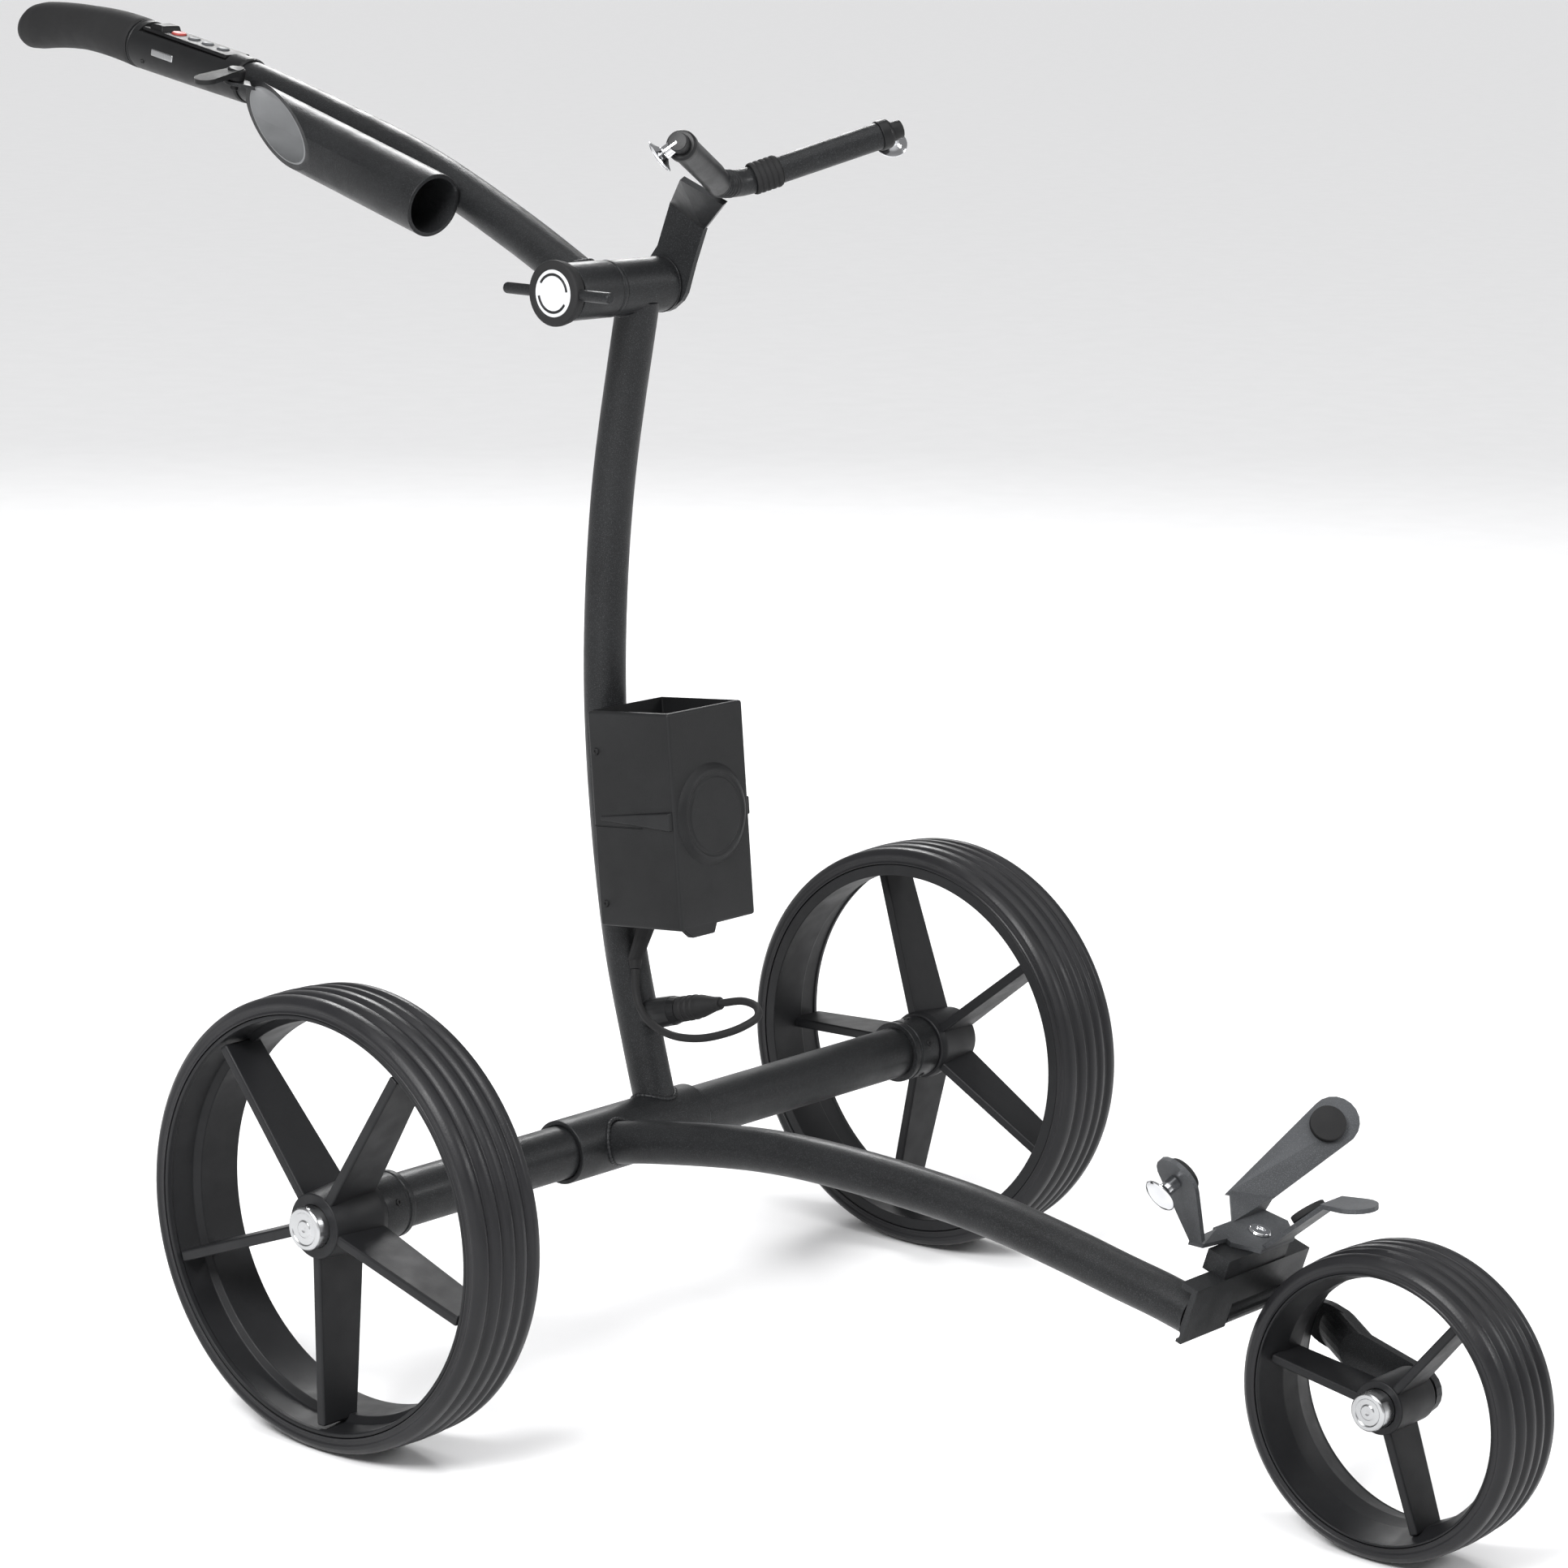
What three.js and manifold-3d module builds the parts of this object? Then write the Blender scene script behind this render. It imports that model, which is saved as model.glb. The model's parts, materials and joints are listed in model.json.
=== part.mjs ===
// Electric golf trolley: three wheels, twin hub drive, lift-out battery, folding handle.
// Millimetres, +Z up, front of the trolley towards -Y. Left (-X) and right (+X) in the names
// are those of someone who stands in front of the trolley and faces it.
import * as THREE from 'three';
import { mergeVertices } from 'three/addons/utils/BufferGeometryUtils.js';
import { ConvexGeometry } from 'three/addons/geometries/ConvexGeometry.js';
import Module from 'manifold-3d';

const wasm = await Module();
wasm.setup();

// ---------------------------------------------------------------- driving dimensions
const FRAME_SHIFT_Y = 19.6;         // moves the middle of the whole length to Y = 0
const GAP = 0.35;                   // clearance between touching pieces

const REAR = { radius: 150, width: 58, half_track: 302, spokes: 5 };
const REAR_SPOKE_TURN = { left: 3, right: 14 };
const FRONT = { radius: 96.8, width: 57.6, y: -601.3, spokes: 3, first_spoke: 21 };
const AXLE_Z = REAR.radius;

const TUBE_R = 14.5;                // mast, boom and handle tubes
const AXLE_TUBE_R = 18.2;
const AXLE_BORE_R = 15.6;
const AXLE_TUBE_END = 257.5;
const SLEEVE_R = 21.75;
const SLEEVE_X = [-100, 30];

const BOOM_X = -60;
const HINGE = { y: 31, z: 722.7, r: 18.6 };
const HINGE_SEAM_X = -27.6;
const BARREL_LEFT_X = -70;
const BARREL_RIGHT_X = 24.8;
const PIN_R = 4;

const BOX = { width: 76, depth: 73.5, height: 147, wall: 3, y: -7.2, z: 369.5, lean: -6 };
const BRACKET = { y: -498, z: 142, lean: 17.5, height: 40, depth: 12, wall: 4, x0: -75, x1: 46 };
const FORK_PIN = { back: 6, up: -13, r: 3.2, knuckle_r: 6.4 };
const CRADLE_HEIGHT = 33.3;         // underside of the cradle plate above the bracket's middle
const CRADLE_BACK = 12.7;

const HOUSING = { y: 389, z: 840.5, end_y: 513.5, end_z: 861.5 };
const SPLAY_END_Y = 522;            // where the tube's line meets the middle plane
const VEE = { half: 96.7, tip_y: -94.9, tip_z: 825.1, apex_y: -46.3, apex_z: 792.3, r: 9 };

const rad = THREE.MathUtils.degToRad;
const vec = (x, y, z) => new THREE.Vector3(x, y, z);

// ---------------------------------------------------------------- solid helpers
function signedVolume(positions, index) {
  const a = new THREE.Vector3();
  const b = new THREE.Vector3();
  const c = new THREE.Vector3();
  let total = 0;
  for (let i = 0; i < index.count; i += 3) {
    a.fromBufferAttribute(positions, index.getX(i));
    b.fromBufferAttribute(positions, index.getX(i + 1));
    c.fromBufferAttribute(positions, index.getX(i + 2));
    total += a.dot(b.cross(c));
  }
  return total;
}

function solid(geometry) {
  const clean = geometry.clone();
  clean.deleteAttribute('normal');
  clean.deleteAttribute('uv');
  const merged = mergeVertices(clean, 1e-4);
  const triVerts = Uint32Array.from(merged.index.array);
  if (signedVolume(merged.attributes.position, merged.index) < 0) {
    for (let i = 0; i < triVerts.length; i += 3) {
      const swap = triVerts[i];
      triVerts[i] = triVerts[i + 1];
      triVerts[i + 1] = swap;
    }
  }
  const vertProperties = Float32Array.from(merged.attributes.position.array);
  return new wasm.Manifold(new wasm.Mesh({ numProp: 3, vertProperties, triVerts }));
}

function geometryOf(body) {
  const mesh = body.getMesh();
  const geometry = new THREE.BufferGeometry();
  geometry.setAttribute('position', new THREE.BufferAttribute(mesh.vertProperties, 3));
  geometry.setIndex(new THREE.BufferAttribute(mesh.triVerts, 1));
  geometry.computeVertexNormals();
  return geometry;
}

const join = (...bodies) => bodies.reduce((sum, body) => sum.add(body));
const cut = (body, ...tools) => tools.reduce((rest, tool) => rest.subtract(tool), body);

function rodX(radius, x0, x1, y = 0, z = 0, sides = 20) {
  const geometry = new THREE.CylinderGeometry(radius, radius, Math.abs(x1 - x0), sides);
  geometry.rotateZ(-Math.PI / 2);
  geometry.translate((x0 + x1) / 2, y, z);
  return solid(geometry);
}

// A turned piece around the X axis; the profile is a list of [x, radius].
function turnedX(profile, sides) {
  const points = profile.map(([x, r]) => new THREE.Vector2(r, x));
  const geometry = new THREE.LatheGeometry(points, sides);
  geometry.rotateZ(-Math.PI / 2);
  return geometry;
}

function circleShape(radius, sides) {
  const points = [];
  for (let i = 0; i < sides; i += 1) {
    const angle = (2 * Math.PI * i) / sides;
    points.push(new THREE.Vector2(radius * Math.cos(angle), radius * Math.sin(angle)));
  }
  return new THREE.Shape(points);
}

function sweep(points, radius, sides, steps) {
  const curve = new THREE.CatmullRomCurve3(points, false, 'centripetal');
  const options = { steps, bevelEnabled: false, extrudePath: curve };
  return solid(new THREE.ExtrudeGeometry(circleShape(radius, sides), options));
}

// A round bar between two points, tapering from radius a to radius b.
function bar(from, to, a, b = a, sides = 16) {
  const direction = to.clone().sub(from);
  const geometry = new THREE.CylinderGeometry(b, a, direction.length(), sides);
  const turn = new THREE.Quaternion();
  turn.setFromUnitVectors(vec(0, 1, 0), direction.clone().normalize());
  geometry.applyQuaternion(turn);
  const middle = from.clone().add(to).multiplyScalar(0.5);
  geometry.translate(middle.x, middle.y, middle.z);
  return solid(geometry);
}

// Corner points of a thin disc, for convex plates.
function discPoints(centre, normal, radius, thickness, count = 16) {
  const n = normal.clone().normalize();
  const side = Math.abs(n.x) < 0.9 ? vec(1, 0, 0) : vec(0, 1, 0);
  const u = new THREE.Vector3().crossVectors(n, side).normalize();
  const v = new THREE.Vector3().crossVectors(n, u);
  const points = [];
  for (let i = 0; i < count; i += 1) {
    const angle = (2 * Math.PI * i) / count;
    const rim = centre.clone();
    rim.addScaledVector(u, radius * Math.cos(angle));
    rim.addScaledVector(v, radius * Math.sin(angle));
    points.push(rim.clone().addScaledVector(n, thickness / 2));
    points.push(rim.clone().addScaledVector(n, -thickness / 2));
  }
  return points;
}

const hull = (points) => solid(new ConvexGeometry(points));

function slab(corners, normal, thickness) {
  const n = normal.clone().normalize();
  const points = [];
  corners.forEach((corner) => {
    points.push(corner.clone().addScaledVector(n, thickness / 2));
    points.push(corner.clone().addScaledVector(n, -thickness / 2));
  });
  return hull(points);
}

// A box-like frame leaning about the X axis: across (x), back (away from the front) and up.
function leaningFrame(y, z, lean) {
  const back = vec(0, Math.cos(rad(lean)), Math.sin(rad(lean)));
  const up = vec(0, -Math.sin(rad(lean)), Math.cos(rad(lean)));
  const at = (x, b, u) => vec(x, y, z).addScaledVector(back, b).addScaledVector(up, u);
  const block = (x0, x1, b0, b1, u0, u1) => {
    const geometry = new THREE.BoxGeometry(x1 - x0, b1 - b0, u1 - u0);
    geometry.rotateX(rad(lean));
    const middle = at((x0 + x1) / 2, (b0 + b1) / 2, (u0 + u1) / 2);
    geometry.translate(middle.x, middle.y, middle.z);
    return solid(geometry);
  };
  return { back, up, at, block };
}

// ---------------------------------------------------------------- materials and scene
const finish = (color, roughness, metalness) => ({ color, roughness, metalness });
const PAINT = finish(0x3a3c3f, 0.5, 0.35);
const BLACK_PLASTIC = finish(0x2b2c2f, 0.55, 0);
const RIM_PLASTIC = finish(0x303134, 0.5, 0);
const RUBBER = finish(0x3c3d40, 0.8, 0);
const TYRE = finish(0x3f4043, 0.75, 0);
const ALUMINIUM = finish(0xc9cbce, 0.3, 1);
const STEEL = finish(0xa8abb0, 0.3, 1);
const CHROME = finish(0xd8dadd, 0.1, 1);
const PANEL = finish(0x1c1d1f, 0.3, 0);
const BUTTON_GREY = finish(0x8b8e93, 0.5, 0);
const BUTTON_RED = finish(0xb6453c, 0.5, 0);
const BATTERY = finish(0x35373b, 0.6, 0);

const trolley = new THREE.Group();
trolley.position.y = FRAME_SHIFT_Y;

function add(name, body, look) {
  const geometry = body.isBufferGeometry ? body : geometryOf(body);
  const mesh = new THREE.Mesh(geometry, new THREE.MeshStandardMaterial(look));
  mesh.name = name;
  trolley.add(mesh);
  return mesh;
}

// ---------------------------------------------------------------- wheels
// Section of a flat-sided tyre with rounded shoulders and a slightly crowned tread.
function tyreProfile(wheel, bore) {
  const half = wheel.width / 2;
  return [[-half, bore], [-half, wheel.radius - 6], [-half + 3, wheel.radius - 2], [0, wheel.radius],
    [half - 3, wheel.radius - 2], [half, wheel.radius - 6], [half, bore], [-half, bore]];
}

function tyre(wheel, bore, sides) {
  return solid(turnedX(tyreProfile(wheel, bore), sides));
}

// One flat blade spoke, wide along the axle and thin around it.
function spoke(angle, inner, outer, xHub, xRim, thickness) {
  const outline = [[inner, xHub[0]], [outer, xRim[0]], [outer, xRim[1]], [inner, xHub[1]]];
  const points = [];
  outline.forEach(([r, x]) => {
    points.push(vec(x, thickness / 2, -r));
    points.push(vec(x, -thickness / 2, -r));
  });
  const geometry = new ConvexGeometry(points);
  geometry.rotateX(-angle);
  return solid(geometry);
}

function spokeAngles(wheel, first) {
  const angles = [];
  for (let i = 0; i < wheel.spokes; i += 1) {
    angles.push(rad(first + (360 / wheel.spokes) * i));
  }
  return angles;
}

// Rear wheel, drawn for the -X side: outer face towards -X, centre at the origin.
const REAR_HUB = { outer: -26, inner: 17.3, bore: 5.4, recess_r: 14.4, recess: -13 };

function rearRim(sides, firstSpoke) {
  const lip = 136.6;
  const well = 130;
  const ring = [[-28.6, lip - 1.6], [-28.6, lip], [28.6, lip], [28.6, well - 1.5],
    [-4, well - 1.5], [-7, lip - 3.4], [-26, lip - 1.6], [-28.6, lip - 1.6]];
  let body = solid(turnedX(ring, sides));
  const hubLength = REAR_HUB.inner - REAR_HUB.outer;
  const boss = new THREE.CylinderGeometry(21, 25, hubLength, 10);
  boss.rotateZ(-Math.PI / 2);
  boss.rotateX(-rad(firstSpoke));
  boss.scale(-1, 1, 1);
  boss.translate((REAR_HUB.inner + REAR_HUB.outer) / 2, 0, 0);
  body = join(body, solid(boss));
  spokeAngles(REAR, firstSpoke).forEach((angle) => {
    body = body.add(spoke(angle, 14, 131.5, [-25, 15], [-27, 3], 7));
  });
  body = body.add(rodX(23.6, REAR_HUB.inner - 5, REAR_HUB.inner, 0, 0, 20));
  const bore = rodX(REAR_HUB.bore, -40, 40, 0, 0, 16);
  const recess = rodX(REAR_HUB.recess_r, -40, REAR_HUB.recess, 0, 0, 20);
  return cut(body, bore, recess);
}

function hubButton(radius, face, back) {
  const profile = [[face, 0], [face, radius - 1], [face + 1, radius], [back, radius], [back, 0]];
  return solid(turnedX(profile, 20));
}

function addRearWheel(side, label) {
  const turn = side < 0 ? 0 : Math.PI;
  const place = (mesh) => {
    mesh.rotation.z = turn;
    mesh.position.set(side * REAR.half_track, 0, AXLE_Z);
  };
  place(add(`rear_tyre_${label}`, tyre(REAR, 137, 36), TYRE));
  place(add(`rear_rim_${label}`, rearRim(36, REAR_SPOKE_TURN[label]), RIM_PLASTIC));
  place(add(`drive_shaft_${label}`, rodX(5, -10.5, 72, 0, 0, 16), STEEL));
  place(add(`wheel_button_${label}`, hubButton(14, -35, REAR_HUB.recess - 3.4), ALUMINIUM));
}

function frontRim(sides) {
  const lip = 84.6;
  const well = 79;
  const ring = [[-28.4, lip - 1.6], [-28.4, lip], [28.4, lip], [28.4, lip - 1.6],
    [26, lip - 1.6], [8, well - 1.5], [-8, well - 1.5], [-26, lip - 1.6], [-28.4, lip - 1.6]];
  let body = solid(turnedX(ring, sides));
  body = body.add(rodX(17, -21, 17, 0, 0, 12));
  spokeAngles(FRONT, FRONT.first_spoke).forEach((angle) => {
    body = body.add(spoke(angle, 10, 80, [-20, 12], [-20, 8], 6));
  });
  const bore = rodX(5.4, -40, 40, 0, 0, 16);
  const recess = rodX(12.4, -40, -10, 0, 0, 20);
  return cut(body, bore, recess);
}

function addFrontWheel() {
  const place = (mesh) => mesh.position.set(0, FRONT.y, FRONT.radius);
  place(add('front_tyre', tyre(FRONT, 85, 32), TYRE));
  place(add('front_rim', frontRim(32), RIM_PLASTIC));
  place(add('front_axle_bolt', rodX(5, -6.5, 27.9, 0, 0, 16), STEEL));
  place(add('front_wheel_button', hubButton(12, -33, -13.4), ALUMINIUM));
}

// ---------------------------------------------------------------- axle and drive
function pipeX(outer, inner, x0, x1, sides = 20) {
  return cut(rodX(outer, x0, x1, 0, AXLE_Z, sides), rodX(inner, x0 - 1, x1 + 1, 0, AXLE_Z, sides));
}

function addAxle() {
  add('axle_sleeve', pipeX(SLEEVE_R, AXLE_TUBE_R + GAP, SLEEVE_X[0], SLEEVE_X[1]), PAINT);
  add('axle_tube', pipeX(AXLE_TUBE_R, AXLE_BORE_R, -AXLE_TUBE_END, AXLE_TUBE_END), PAINT);
  [[-1, 'left'], [1, 'right']].forEach(([side, label]) => {
    const collar = [[248, 15.2], [AXLE_TUBE_END + GAP, 15.2], [AXLE_TUBE_END + GAP, 22],
      [284, 22], [284, 13.4], [273, 13.4], [273, 6.5], [248, 6.5], [248, 15.2]];
    const motor = [[130, 0], [130, 14], [131, 15.2], [247, 15.2], [247, 5.4], [228, 5.4], [228, 0]];
    const bearing = [[273.5, 13], [281.5, 13], [281.5, 5.4], [273.5, 5.4], [273.5, 13]];
    const pieces = [[`axle_collar_${label}`, collar, PAINT], [`gear_motor_${label}`, motor, STEEL],
      [`wheel_bearing_${label}`, bearing, CHROME]];
    pieces.forEach(([name, profile, look]) => {
      const mesh = add(name, solid(turnedX(profile, 20)), look);
      mesh.rotation.z = side < 0 ? Math.PI : 0;
      mesh.position.z = AXLE_Z;
    });
  });
}

// ---------------------------------------------------------------- mast and boom
const MAST_POINTS = [vec(0, 1, 156), vec(0, 16, 206.6), vec(0, 33.7, 272.5), vec(0, 50, 380),
  vec(0, 55.3, 473), vec(0, 49.6, 585), vec(0, 30.5, 704)];

function mastSolid(radius) {
  return sweep(MAST_POINTS, radius, 12, 14);
}

function addMast() {
  const sleeve = rodX(SLEEVE_R + GAP, -60, 60, 0, AXLE_Z);
  const barrel = rodX(HINGE.r + GAP, -60, 60, HINGE.y, HINGE.z);
  add('mast_tube', cut(mastSolid(TUBE_R), sleeve, barrel), PAINT);
}

const BOOM_POINTS = [[-12, 151], [-45, 158], [-141, 172.5], [-207, 175.5], [-314, 171.5],
  [-378, 163], [-440, 151.5], [-468, 146.5], [-500, 139]].map(([y, z]) => vec(BOOM_X, y, z));

function boomSolid(radius) {
  return sweep(BOOM_POINTS, radius, 12, 14);
}

function addBoom() {
  const sleeve = rodX(SLEEVE_R + GAP, -100, 0, 0, AXLE_Z);
  const web = bracketFrame.block(-120, 0, -40, BRACKET.wall + GAP, -40, 40);
  add('boom_tube', cut(boomSolid(TUBE_R), sleeve, web), PAINT);
}

// ---------------------------------------------------------------- front bracket and fork
const bracketFrame = leaningFrame(BRACKET.y, BRACKET.z, BRACKET.lean);

function addFrontBracket() {
  const { x0, x1, height, depth, wall } = BRACKET;
  const top = height / 2;
  const bottom = 2 - top;
  const block = bracketFrame.block;
  const web = block(x0, x1, 0, wall, bottom, top);
  const topFlange = block(x0, x1, 0, depth, top - wall, top);
  const leftEar = block(-32, -28, 0, depth, bottom, top);
  const rightEar = block(x1 - 4, x1, 0, depth, bottom, top);
  const swivelBlock = block(-46, 20, 1, 18, top - 1, CRADLE_HEIGHT - GAP);
  let body = join(web, topFlange, leftEar, rightEar, swivelBlock);
  const window = block(-27.9, x1 - 4.1, -5, 12, bottom - 5, -1.5);
  const pinAt = bracketFrame.at(0, FORK_PIN.back, FORK_PIN.up);
  const pinBore = rodX(FORK_PIN.r + GAP, x0 - 5, x1 + 5, pinAt.y, pinAt.z, 16);
  const boomEnd = cut(boomSolid(TUBE_R + GAP), block(-120, 0, -40, wall, -40, 40));
  const swivelBore = bar(bracketFrame.at(0, CRADLE_BACK, 24), bracketFrame.at(0, CRADLE_BACK, 40),
    4.4, 4.4, 16);
  body = cut(body, window, pinBore, boomEnd, swivelBore);
  add('front_bracket', body, PAINT);
  add('fork_pin', rodX(FORK_PIN.r, -34, x1 + 2, pinAt.y, pinAt.z, 16), STEEL);
}

function addFork() {
  const pinAt = bracketFrame.at(0, FORK_PIN.back, FORK_PIN.up);
  const hub = vec(0, FRONT.y, FRONT.radius);
  const pin = vec(0, pinAt.y, pinAt.z);
  const along = (t) => pin.clone().lerp(hub, t);
  const x = vec(1, 0, 0);
  const disc = (t, centreX, radius) => discPoints(along(t).setX(centreX), x, radius, 6, 20);
  const knuckle = rodX(FORK_PIN.knuckle_r, -27.2, BRACKET.x1 - 4.6, pin.y, pin.z, 20);
  const neck = hull([...disc(0, 35.5, FORK_PIN.knuckle_r), ...disc(0.2, 35.5, 9)]);
  const blade = hull([...disc(0.2, 35.5, 9), ...disc(0.34, 35.5, 13.5)]);
  const upper = hull([...disc(0.34, 35.5, 13.5), ...disc(0.42, 35.5, 13.5)]);
  const crank = hull([...disc(0.42, 35.5, 13.5), ...disc(0.62, 24.5, 13.5)]);
  const lower = hull([...disc(0.62, 24.5, 13.5), ...disc(1, 24.5, 15)]);
  const bosses = rodX(10, 17.6 + GAP, 25, hub.y, hub.z, 20);
  const stud = rodX(5 + GAP, 10, 40, hub.y, hub.z, 16);
  const pinBore = rodX(FORK_PIN.r + GAP, -40, 60, pin.y, pin.z, 16);
  const body = join(knuckle, neck, blade, upper, crank, lower, bosses);
  add('front_fork', cut(body, stud, pinBore), PAINT);
}

// ---------------------------------------------------------------- lower bag cradle
const cradleAt = (x, b, u) => bracketFrame.at(x, CRADLE_BACK + b, CRADLE_HEIGHT + 1.5 + u);
const CRADLE_CENTRE = cradleAt(0, 0, 0);
const PAD_R = 11.5;
const ARM_THICKNESS = 3;

// A point of the cradle, measured level and upright from the middle of its plate.
const fromCradle = (x, y, z) => CRADLE_CENTRE.clone().add(vec(x, y, z));

function slabPoints(corners, normal) {
  return corners.flatMap((corner) => [
    corner.clone().addScaledVector(normal, ARM_THICKNESS / 2),
    corner.clone().addScaledVector(normal, -ARM_THICKNESS / 2),
  ]);
}

function addPad(name, centre, inner) {
  const face = centre.clone().addScaledVector(inner, ARM_THICKNESS / 2 + GAP);
  add(name, bar(face, face.clone().addScaledVector(inner, 4.5), PAD_R), RUBBER);
}

function addCradle() {
  const up = bracketFrame.up;
  const plateCorners = [cradleAt(-27, 17, 0), cradleAt(27, 17, 0), cradleAt(31, 0, 0),
    cradleAt(18, -15, 0), cradleAt(-18, -15, 0), cradleAt(-31, 0, 0)];
  const plate = slab(plateCorners, up, ARM_THICKNESS);

  const rightFace = vec(-0.6, -0.6, 0.53).normalize();
  const rightEnd = fromCradle(80.7, 0.7, 54.9);
  const rightBend = [fromCradle(11.8, 34.4, 15.2), fromCradle(30.9, 12.5, 11.9)];
  const rightFoot = [cradleAt(-8, 15.5, 0), cradleAt(27, 15.5, 0)];
  const inArm = rightBend.map((corner) => corner.clone().lerp(rightEnd, 0.04));
  const rightArm = hull([...discPoints(rightEnd, rightFace, 16, ARM_THICKNESS, 20),
    ...slabPoints(rightBend, rightFace)]);
  const rightGusset = hull([...slabPoints(inArm, rightFace), ...slabPoints(rightFoot, up)]);
  const rightPad = fromCradle(76.1, 3.4, 52.7);
  addPad('cradle_pad_right', rightPad, rightFace);
  addStrapStud('cradle_stud_right', rightPad, rightFace.clone().negate(), ARM_THICKNESS / 2);

  const leftFace = vec(0.85, -0.2, 0.49).normalize();
  const leftEnd = fromCradle(-86, 2.6, 53);
  const leftFoot = [fromCradle(-57, 11, 6), fromCradle(-61.5, -1, 9)];
  const leftArm = hull([...discPoints(leftEnd, leftFace, 16, ARM_THICKNESS, 20),
    ...slabPoints(leftFoot, leftFace)]);
  const leftTab = hull([...slabPoints([fromCradle(-58.5, 12, 5), fromCradle(-58.5, 1, 5)], up),
    ...slabPoints([cradleAt(-25, 15.5, 0), cradleAt(-28, 4, 0)], up)]);
  addPad('cradle_pad_left', leftEnd, leftFace);
  addStrapStud('cradle_stud_left', leftEnd, leftFace.clone().negate(), ARM_THICKNESS / 2);

  const frontFace = vec(0, 0.64, 0.77).normalize();
  const leafFace = vec(0, 0.08, 1).normalize();
  const frontFoot = [fromCradle(-14, -13, -3), fromCradle(14, -13, -3)];
  const frontBend = [fromCradle(-12, -53, 31), fromCradle(12, -53, 31)];
  const frontArm = hull([...slabPoints(frontFoot, frontFace), ...slabPoints(frontBend, frontFace)]);
  const leafRoot = frontBend.map((corner) => corner.clone().add(vec(0, 1.5, 0)));
  const leaf = hull([...slabPoints(leafRoot, leafFace),
    ...discPoints(fromCradle(0, -68.5, 32.2), leafFace, 14.5, ARM_THICKNESS, 20)]);
  addPad('cradle_pad_front', fromCradle(0, -38, 18.5), frontFace);
  const body = join(plate, rightArm, rightGusset, leftArm, leftTab, frontArm, leaf);
  const bore = bar(cradleAt(0, 0, -3), cradleAt(0, 0, 3), 4.4, 4.4, 16);
  add('cradle', cut(body, bore), PAINT);
  const head = bar(cradleAt(0, 0, 1.5 + GAP), cradleAt(0, 0, 3.2), 7.5, 6.5, 16);
  const shank = bar(cradleAt(0, 0, -9.5), cradleAt(0, 0, 2.5), 4, 4, 16);
  add('cradle_screw', join(head, shank), CHROME);
}

// Mushroom stud that the bag strap hooks over.
function addStrapStud(name, from, direction, start, neckLength = 12) {
  const profile = [[0, 0], [0, 4.5], [neckLength - 2, 4.5], [neckLength, 8], [neckLength + 2.2, 11.6],
    [neckLength + 3.4, 10.4], [neckLength + 4, 8], [neckLength + 4, 0]];
  const geometry = turnedX(profile, 16);
  geometry.applyQuaternion(new THREE.Quaternion().setFromUnitVectors(vec(1, 0, 0), direction));
  const foot = from.clone().addScaledVector(direction, start + GAP);
  add(name, solid(geometry.translate(foot.x, foot.y, foot.z)), CHROME);
}

// ---------------------------------------------------------------- battery holder
const boxFrame = leaningFrame(BOX.y, BOX.z, BOX.lean);

function addBatteryBox() {
  const w = BOX.width / 2;
  const d = BOX.depth / 2;
  const h = BOX.height / 2;
  const t = BOX.wall;
  const block = boxFrame.block;
  let body = block(-w, w, -d, d, -h, h);
  body = body.add(block(-w - 3, w + 3, -d - 3, d - 20, -6, 8));
  const lipBack = -d + 3;
  body = body.add(slab([boxFrame.at(-w + 1, lipBack, -h + 2), boxFrame.at(0, lipBack, -h + 2),
    boxFrame.at(-4, lipBack, -h - 6), boxFrame.at(-w + 12, lipBack, -h - 6)], boxFrame.back, 6));
  [[34, 46], [-50, -38]].forEach(([u0, u1]) => {
    body = body.add(block(-12, 12, d - 1, d + 14, u0, u1));
  });
  const ring = (outer, inner, height) => {
    const profile = [[0, inner], [0, outer], [height, outer - 1], [height, inner], [0, inner]];
    const geometry = turnedX(profile, 32);
    geometry.rotateZ(-Math.PI / 2);
    geometry.rotateX(rad(BOX.lean));
    const centre = boxFrame.at(0, -d + 0.2, 1);
    geometry.translate(centre.x, centre.y, centre.z);
    return solid(geometry);
  };
  body = join(body, ring(32, 28.5, 4.4), ring(23, 21.5, 1.4));
  const cavity = block(-w + t, w - t, -d + t, d - t, -h + t, h + 5);
  add('battery_box', cut(body, cavity, mastSolid(TUBE_R + GAP)), BLACK_PLASTIC);
  const pack = block(-w + t + 0.7, w - t - 0.7, -d + t + 0.7, d - t - 0.7, -h + t + GAP, h - 12);
  const finger = block(-16, 16, -9, 9, h - 26, h);
  add('battery_pack', cut(pack, finger), BATTERY);
}

const PLUG_AXIS = vec(0, -0.957, 0.29);
const PLUG_ROOT = vec(0, 21.5, 222);
const CABLE_R = 2.7;
const CABLE_POINTS = [vec(-11, 13.8, 258.4), vec(-14, 10.8, 247), vec(-16.5, 4.5, 235),
  vec(-20, -9, 226.5), vec(-24, -31, 223), vec(-27, -57, 226), vec(-27, -78, 232.5),
  vec(-22, -92.5, 239.5), vec(-12.5, -97.5, 245.5), vec(-4, -89.5, 249.5), vec(-0.5, -75, 250.2)];

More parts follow.
